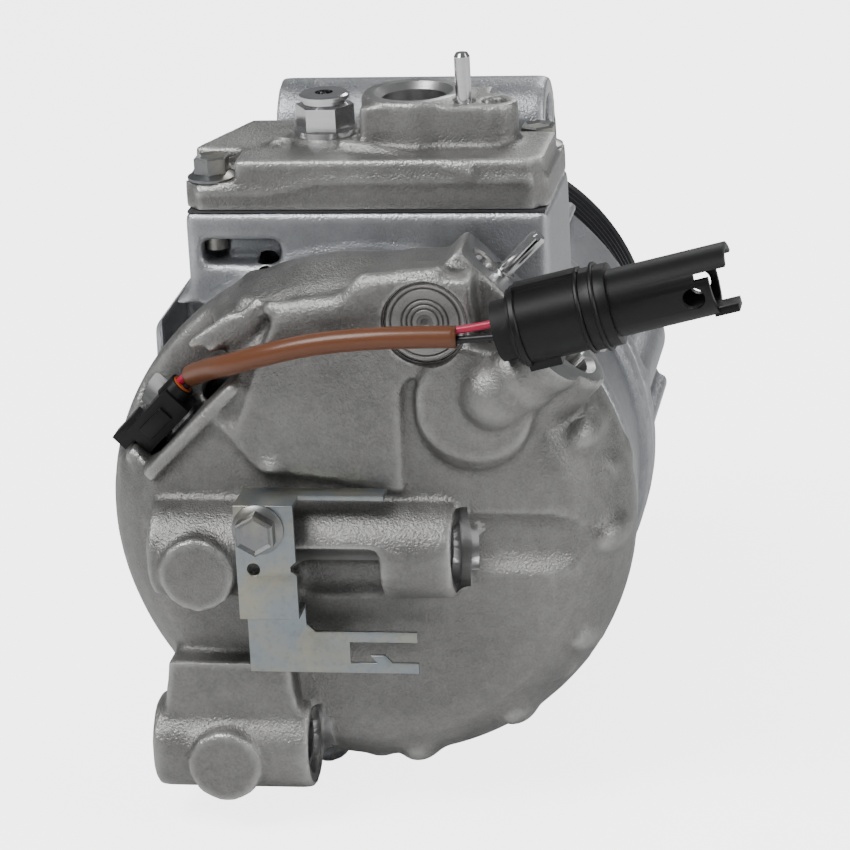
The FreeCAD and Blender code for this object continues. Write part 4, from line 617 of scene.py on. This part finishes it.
def rearHeadCutters():
    back = rearHead["back"]

    middle, bottom = rearHead["middleLug"], rearHead["bottomLug"]
    plugX, plugZ = rearHead["endPlug"]

    def lugFaces(bm):
        for lug in (middle, bottom):
            rodInto(bm, (lug["face"], lug["y"], lug["z"]), (1, 0, 0), bores["lugFace"], 3)

    def middleBore(bm):
        rodInto(bm, (middle["start"], middle["y"], middle["z"]), (1, 0, 0), bores["lug"], middle["length"])

    def bottomBore(bm):
        rodInto(bm, (bottom["start"], bottom["y"], bottom["z"]), (1, 0, 0), bores["lug"], bottom["length"])

    def lugChamfers(bm):
        for lug in (middle, bottom):
            rodInto(bm, (lug["chamfer"], lug["y"], lug["z"]), (1, 0, 0), bores["lug"], 1.9, radiusEnd=8.7)

    def portFace(bm):
        boxInto(bm, (-40, -170, 69.75), (30, -126, 80), portTurn)

    def portBore(bm):
        rodInto(bm, inAxes(portTurn, 3.7, -142, 46), portOut, bores["port"], 30)

    def portLip(bm):
        rodInto(bm, inAxes(portTurn, 3.7, -142, 68.3), portOut, bores["port"], 1.6, radiusEnd=9.9)

    def screwHole(bm):
        rodInto(bm, inAxes(portTurn, -24.5, -137, 56), portOut, bores["thread"], 20)

    def pinHole(bm):
        rodInto(bm, inAxes(portTurn, -18.5, -132.5, 60.8), portOut, bores["pin"], 20)

    def plugSeat(bm):
        rodInto(bm, (plugX, back - 5, plugZ), (0, 1, 0), 10.2, 11.6)

    def plugRim(bm):
        rodInto(bm, (plugX, back - 5, plugZ), (0, 1, 0), 10.7, 3.8)

    def valveBore(bm):
        rodInto(bm, inAxes(slotTurn, -15, -142, 21), inAxes(slotTurn, 0, 0, 1), 7.52, 60)

    def jointFace(bm):
        boxInto(bm, (-wide, rearHead["front"] - 0.15, -wide), (wide, rearHead["front"] + 4, wide))

    return [(lugFaces, machined), (middleBore, machined), (bottomBore, machined), (lugChamfers, machined),
            (portFace, machined), (portBore, machined), (portLip, machined), (screwHole, machined),
            (pinHole, machined), (plugSeat, machined), (plugRim, cast), (valveBore, machined),
            (jointFace, machined)]


rearHousing = castForm("rearHousing", "rear_housing", rearHead["voxel"], rearHead["passes"],
                       rearHeadExtra, rearHeadCutters())

cover = {
    "voxel": 0.9, "passes": 5,
    "port": (10, -98.7), "thread": (31, -103.7), "pin": (23.6, -105.2), "relief": (-12.8, -100),
    "bolts": [(-39.5, -115.5), (39.5, -87.5)], "boltSeat": 81.45, "boltWasher": 6.7, "boltHole": 3.15,
    "foot": [(-6, -112.6, 89.2), (2, -114.5, 88.4), (10, -117.5, 87.2), (18, -120.4, 85.6),
             (27, -121.6, 84.6)],
    "edge": [(-42, -121.8, 79.4), (-24, -121.8, 79.4), (-18, -121.8, 80.6), (-12, -121.8, 82.2),
             (42, -121.8, 82.4)],
}


def coverCutters():
    def portBore(bm):
        rodInto(bm, (*cover["port"], 76), (0, 0, 1), bores["port"], 40)

    def portLip(bm):
        rodInto(bm, (*cover["port"], 97.6), (0, 0, 1), bores["port"], 2.1, radiusEnd=10.4)

    def portFace(bm):
        rodInto(bm, (*cover["port"], 99.3), (0, 0, 1), 14, 4)

    def towerFace(bm):
        boxInto(bm, (-6, -115, 97.95), (42, -84, 99.2))

    def threadHole(bm):
        rodInto(bm, (*cover["thread"], 84), (0, 0, 1), bores["thread"], 30)

    def pinHole(bm):
        rodInto(bm, (*cover["pin"], 86), (0, 0, 1), bores["pin"], 30)

    def reliefHole(bm):
        rodInto(bm, (*cover["relief"], 76), (0, 0, 1), 5.02, 40)

    def seats(bm):
        for x, y in cover["bolts"]:
            rodInto(bm, (x, y, cover["boltSeat"]), (0, 0, 1), cover["boltWasher"], 10)

    def bolts(bm):
        for x, y in cover["bolts"]:
            rodInto(bm, (x, y, 70), (0, 0, 1), cover["boltHole"], 20)

    def joint(bm):
        boxInto(bm, (-60, -130, 70), (60, -70, 74.65))

    return [(portBore, machined), (portLip, machined), (portFace, machined), (threadHole, machined),
            (pinHole, machined), (reliefHole, machined), (seats, machined), (bolts, machined),
            (joint, machined)]


def coverExtra(bm):
    # rolled foot of the port tower, falling towards the right, and the step along the rear edge
    for run, radius in ((cover["foot"], 1.7), (cover["edge"], 1.1)):
        for a, b in zip(run, run[1:]):
            barInto(bm, a, b, radius)


topCover = castForm("topCover", "top_cover", cover["voxel"], cover["passes"], coverExtra, coverCutters())


block = {
    "voxel": 1.1, "passes": 4, "front": -80.15, "back": -122.85,
    "cylinders": 7, "circle": 41, "bore": 16.06,
}


def blockCutters():
    def cylinders(bm):
        for step in range(block["cylinders"]):
            turn = math.radians(step * 360 / block["cylinders"])
            rodInto(bm, (block["circle"] * math.sin(turn), -125, block["circle"] * math.cos(turn)), (0, 1, 0),
                    block["bore"], 50)

    def front(bm):
        boxInto(bm, (-wide, block["front"], -wide), (wide, -76, wide))

    def back(bm):
        boxInto(bm, (-wide, -127, -wide), (wide, block["back"], wide))

    def top(bm):
        boxInto(bm, (-60, -130, 73.85), (60, -70, 80))

    return [(cylinders, machined), (front, machined), (back, machined), (top, machined)]


cylinderBlock = castForm("cylinderBlock", "cylinder_block", block["voxel"], block["passes"], None,
                         blockCutters())

crankcase = {"voxel": 1.2, "passes": 4, "back": -79.85, "lug": (-45, 77), "lugFace": 36.5}


def frontCutters():
    def lugFace(bm):
        rodInto(bm, (crankcase["lugFace"], *crankcase["lug"]), (1, 0, 0), 11, 3)

    def lugBore(bm):
        rodInto(bm, (-45, *crankcase["lug"]), (1, 0, 0), bores["lug"], 90)

    def joint(bm):
        boxInto(bm, (-wide, -84, -wide), (wide, crankcase["back"], wide))

    return [(lugFace, machined), (lugBore, machined), (joint, machined)]


frontHousing = castForm("frontHousing", "front_housing", crankcase["voxel"], crankcase["passes"], None,
                        frontCutters())


# end plug: a turned cap with rings left by its forming tool

endPlug = {"face": 1.3, "foot": -6.2, "radius": 10.0, "rings": (3.0, 4.2, 5.4, 8.2)}
# its third colour is the painted highlight tone for convex edges
endPlugFinish = castFinish("plugCap", (0.22, 0.217, 0.21), (0.31, 0.307, 0.30), (0.6, 0.595, 0.585),
                           0.5, 0.62, 1.3)


def makeEndPlug():
    face, foot, edge = endPlug["face"], endPlug["foot"], endPlug["radius"]
    at = (rearHead["endPlug"][0], rearHead["back"], rearHead["endPlug"][1])
    rings = [(0, face - 0.5), (0.8, face - 0.5), (1.2, face - 0.15), (1.9, face - 0.15), (2.1, face)]
    for radius in endPlug["rings"]:
        rings += [(radius, face), (radius + 0.3, face - 0.35), (radius + 0.75, face)]
    rings += [(edge - 0.5, face), (edge, face - 0.4), (edge, foot), (0, foot), (0, face - 0.5)]
    bm = bmesh.new()
    spunInto(bm, rings, at, (0, -1, 0), 96)
    closeUp(bm)
    return standIn(fromBmesh("endPlug", bm, None, 25), "end_plug", endPlugFinish)


makeEndPlug()
print("end plug made")


# bolts with washers

def flangeBoltInto(bm, at, along, flats, height, washer, shank, length):
    frameOf = Matrix.Translation(point(*at)) @ towards(along)
    circle = bmesh.ops.create_cone(bm, cap_ends=True, segments=6, radius1=flats / math.cos(math.pi / 6) * mm,
                                   radius2=flats / math.cos(math.pi / 6) * mm, depth=height * mm)
    verts = circle["verts"]
    bmesh.ops.translate(bm, vec=(0, 0, height * mm / 2), verts=verts)
    top = [f for f in {f for v in verts for f in v.link_faces} if f.normal.z > 0.9]
    inset = bmesh.ops.inset_region(bm, faces=top, thickness=0.5 * mm, depth=0)
    bmesh.ops.translate(bm, vec=(0, 0, 0.45 * mm), verts=list({v for f in top for v in f.verts}))
    bmesh.ops.inset_region(bm, faces=top, thickness=0.9 * mm, depth=0)
    bmesh.ops.translate(bm, vec=(0, 0, -0.6 * mm), verts=list({v for f in top for v in f.verts}))
    seen = {v for f in inset["faces"] for v in f.verts} | {v for f in top for v in f.verts} | set(verts)
    wave = list(seen)
    while wave:
        for edge in wave.pop().link_edges:
            for v in edge.verts:
                if v not in seen:
                    seen.add(v)
                    wave.append(v)
    bmesh.ops.transform(bm, matrix=frameOf, verts=list(seen))
    spunInto(bm, [(0, 0), (washer - 0.2, 0), (washer, 0.25), (washer, 0.8), (flats + 0.9, 1.5),
                  (flats - 0.6, 2.0), (0, 2.0)], at, along, 40)
    if length:
        back = tuple(a - d * length for a, d in zip(at, along))
        rodInto(bm, back, along, shank, length + 0.5, 24)


throughBolts = {"count": 7, "circle": 58.2, "seat": -30, "length": 105}


def makeBolts():
    bm = bmesh.new()
    for x, y in cover["bolts"]:
        flangeBoltInto(bm, (x, y, 81.5), (0, 0, 1), 4.0, 5.5, 6.2, 3, 18)
    bmesh.ops.recalc_face_normals(bm, faces=bm.faces)
    piece = fromBmesh("coverBolts", bm, boltZinc, 30)
    standIn(piece, "cover_bolts")
    bm = bmesh.new()
    flangeBoltInto(bm, (-21.4, -171.2, 8.6), (0, -1, 0), 4.6, 5.1, 6.4, 3, 12)
    bmesh.ops.recalc_face_normals(bm, faces=bm.faces)
    piece = fromBmesh("bracketBolt", bm, boltZinc, 30)
    standIn(piece, "bracket_bolt")
    bm = bmesh.new()
    for step in range(throughBolts["count"]):
        turn = math.radians((step + 0.5) * 360 / throughBolts["count"])
        x, z = throughBolts["circle"] * math.sin(turn), throughBolts["circle"] * math.cos(turn)
        flangeBoltInto(bm, (x, throughBolts["seat"], z), (0, 1, 0), 5.0, 4.5, 6.2, 3, throughBolts["length"])
    bmesh.ops.recalc_face_normals(bm, faces=bm.faces)
    piece = fromBmesh("throughBolts", bm, boltZinc, 30)
    standIn(piece, "through_bolts")


makeBolts()
print("bolts made")


# softened copies of moulded and pressed parts

def softened(name, node, width, segments=2, material=None, angle=32):
    obj = mergedCopy(name, node, dissolve=True)
    bevel = obj.modifiers.new("edges", "BEVEL")
    bevel.width = width * mm
    bevel.segments = segments
    bevel.limit_method = "ANGLE"
    bevel.angle_limit = math.radians(angle)
    bevel.use_clamp_overlap = True
    bake(obj)
    obj.data.materials.clear()
    obj.data.materials.append(material or finishes[slotOf[node]])
    shade(obj.data, 30)
    return standIn(obj, node, material)


plugHousing = softened("plugHousing", "plug_housing", 0.3)
valveConnector = softened("valveConnector", "valve_connector", 0.35)
bracket = softened("clipBracket", "bracket", 0.5, 3)

plug = {
    "start": (38.5, -162.6, 56.4), "turn": 14, "inner": 8.4, "roll": 0.3,
    "ribs": [(5.2, 10.0, 1.6), (21.6, 10.6, 1.1), (25.4, 10.9, 1.1)],    # start, radius, width
}


def makePlugRibs():
    # raised rings of the plug's body: its rear collar and the two stops for the mating half
    turn, inner, roll = math.radians(plug["turn"]), plug["inner"], plug["roll"]
    bm = bmesh.new()
    for start, radius, width in plug["ribs"]:
        spunInto(bm, [(inner, start), (radius - roll, start), (radius, start + roll),
                      (radius, start + width - roll), (radius - roll, start + width), (inner, start + width),
                      (inner, start)],
                 plug["start"], (math.cos(turn), 0, math.sin(turn)), 64)
    closeUp(bm)
    piece = fromBmesh("plugRibs", bm, finishes["black_plastic"], 30)
    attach(piece, nodes["plug_housing"]["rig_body"])
    return piece


plugRibs = makePlugRibs()
print("plug, connector and bracket made")


# valve springs, copied from their nodes with meshes of their own

valveSprings = {
    "reliefSpring": {"node": "relief_valve_spring", "joint": "relief_lift", "lift": 1.2},
    "checkSpring": {"node": "check_valve_spring", "joint": "check_lift", "lift": 2.5},
}


def makeValveSprings():
    for name, spring in valveSprings.items():
        piece = mergedCopy(name, spring["node"])
        shade(piece.data, 40)
        standIn(piece, spring["node"])
        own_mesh(piece)


makeValveSprings()
print("valve springs made")


# cords, from the connector's seal to the plug

pigtail = {
    "sleeve": [(-41.6, -143.9, 38.9), (-37.3, -148.8, 41.9), (-29.3, -157.4, 46.0), (-19.0, -161.2, 50.0),
               (-8.6, -162.3, 52.7), (2.4, -163.0, 54.3), (14.7, -163.2, 55.1), (28.4, -162.6, 55.0)],
    "red": [(-46.9, -141.5, 34.9), (-43.6, -142.2, 38.5), (-38.0, -148.4, 42.6), (-29.6, -157.4, 46.9),
            (-19.3, -161.2, 51.0), (-8.8, -162.3, 53.7), (2.3, -163.0, 55.3), (14.7, -163.2, 56.1),
            (28.4, -162.6, 56.2), (41.0, -162.6, 59.2)],
    "black": [(-45.6, -141.5, 33.4), (-42.3, -142.2, 37.0), (-36.9, -148.4, 40.9), (-28.9, -157.4, 45.0),
              (-18.7, -161.2, 49.0), (-8.4, -162.3, 51.7), (2.5, -163.0, 53.3), (14.7, -163.2, 54.1),
              (28.4, -162.6, 54.0), (41.6, -162.6, 55.4)],
    "sleeveRadius": 2.75, "sleeveWall": 0.4, "wireRadius": 0.95,
    "sleeveLength": 0.0790, "redLength": 0.0998, "blackLength": 0.0989,
}


def cordCurve(name, route, radius):
    data = bpy.data.curves.new(name, "CURVE")
    data.dimensions = "3D"
    data.bevel_depth = radius * mm
    data.bevel_resolution = 6
    data.resolution_u = 16
    spline = data.splines.new("NURBS")
    spline.points.add(len(route) - 1)
    for index, spot in enumerate(route):
        spline.points[index].co = (*point(*spot), 1)
    spline.order_u = 3
    spline.use_endpoint_u = True
    data.use_fill_caps = True
    return linked(name, data)


def makePigtail():
    sleeve = cordCurve("loomSleeve", pigtail["sleeve"], pigtail["sleeveRadius"])
    sleeve.data.use_fill_caps = False
    wall = sleeve.modifiers.new("wall", "SOLIDIFY")
    wall.thickness = pigtail["sleeveWall"] * mm
    wall.offset = -1
    red = cordCurve("redWire", pigtail["red"], pigtail["wireRadius"])
    black = cordCurve("blackWire", pigtail["black"], pigtail["wireRadius"])
    farPieces = [plugHousing, plugRibs, nodes["plug_rear_seal"]]    # what hangs on the red wire's far end
    for obj, node, length, width, far, along in (
            (sleeve, "loom_sleeve", pigtail["sleeveLength"], 0.0055, "bare", []),
            (red, "wire_red", pigtail["redLength"], 0.0019, "plug", farPieces),
            (black, "wire_black", pigtail["blackLength"], 0.0019, "object", [])):
        obj.data.materials.append(finishes[slotOf[node]])
        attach(obj, nodes[node]["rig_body"])
        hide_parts(node)


makePigtail()
print("pigtail made")


# floor and light

studio = {"floor": 0.8, "white": 3.6, "sky": 0.2, "key": 30, "side": 8, "rim": 12}


def makeStudio():
    bm = bmesh.new()
    bmesh.ops.create_grid(bm, x_segments=1, y_segments=1, size=6)
    bmesh.ops.translate(bm, vec=(0, 0, cadBounds[0][2] - 0.0003), verts=bm.verts)
    paint = Finish("floorPaint", Roughness=0.9)
    paint.colour((studio["floor"],) * 3)
    glow = addNode(paint.tree, "ShaderNodeEmission")
    glow.inputs["Strength"].default_value = studio["white"]
    both = addNode(paint.tree, "ShaderNodeAddShader")
    paint.tree.links.new(paint.shader.outputs[0], both.inputs[0])
    paint.tree.links.new(glow.outputs[0], both.inputs[1])
    pick = addNode(paint.tree, "ShaderNodeMixShader")
    path = addNode(paint.tree, "ShaderNodeLightPath")
    paint.tree.links.new(path.outputs["Is Camera Ray"], pick.inputs["Fac"])
    paint.tree.links.new(paint.shader.outputs[0], pick.inputs[1])
    paint.tree.links.new(both.outputs[0], pick.inputs[2])
    paint.tree.links.new(pick.outputs[0], paint.tree.nodes["Material Output"].inputs["Surface"])
    floor = fromBmesh("floor", bm, paint.material)
    world = bpy.data.worlds.new("studio")
    scene.world = world
    world.use_nodes = True
    tree = world.node_tree
    sky = tree.nodes["Background"]
    seen = addNode(tree, "ShaderNodeBackground")
    seen.inputs["Color"].default_value = (1, 1, 1, 1)
    seen.inputs["Strength"].default_value = studio["white"] * 2.2
    sky.inputs["Color"].default_value = (0.96, 0.98, 1.0, 1)
    sky.inputs["Strength"].default_value = studio["sky"]
    path = addNode(tree, "ShaderNodeLightPath")
    mix = addNode(tree, "ShaderNodeMixShader")
    tree.links.new(path.outputs["Is Camera Ray"], mix.inputs["Fac"])
    tree.links.new(sky.outputs[0], mix.inputs[1])
    tree.links.new(seen.outputs[0], mix.inputs[2])
    tree.links.new(mix.outputs[0], tree.nodes["World Output"].inputs["Surface"])
    middle = Vector((0, -0.08, 0))
    for name, spot, size, power in (
            ("keyLight", (-0.7, -0.9, 1.5), 0.9, studio["key"]),
            ("sideLight", (1.4, -0.5, 0.7), 0.7, studio["side"]),
            ("rimLight", (0.3, 1.4, 1.2), 0.8, studio["rim"])):
        light = bpy.data.lights.new(name, "AREA")
        light.size = size
        light.energy = power
        lamp = linked(name, light)
        lamp.location = spot
        lamp.rotation_euler = (middle - Vector(spot)).to_track_quat("-Z", "Y").to_euler()


makeStudio()
print("studio made")
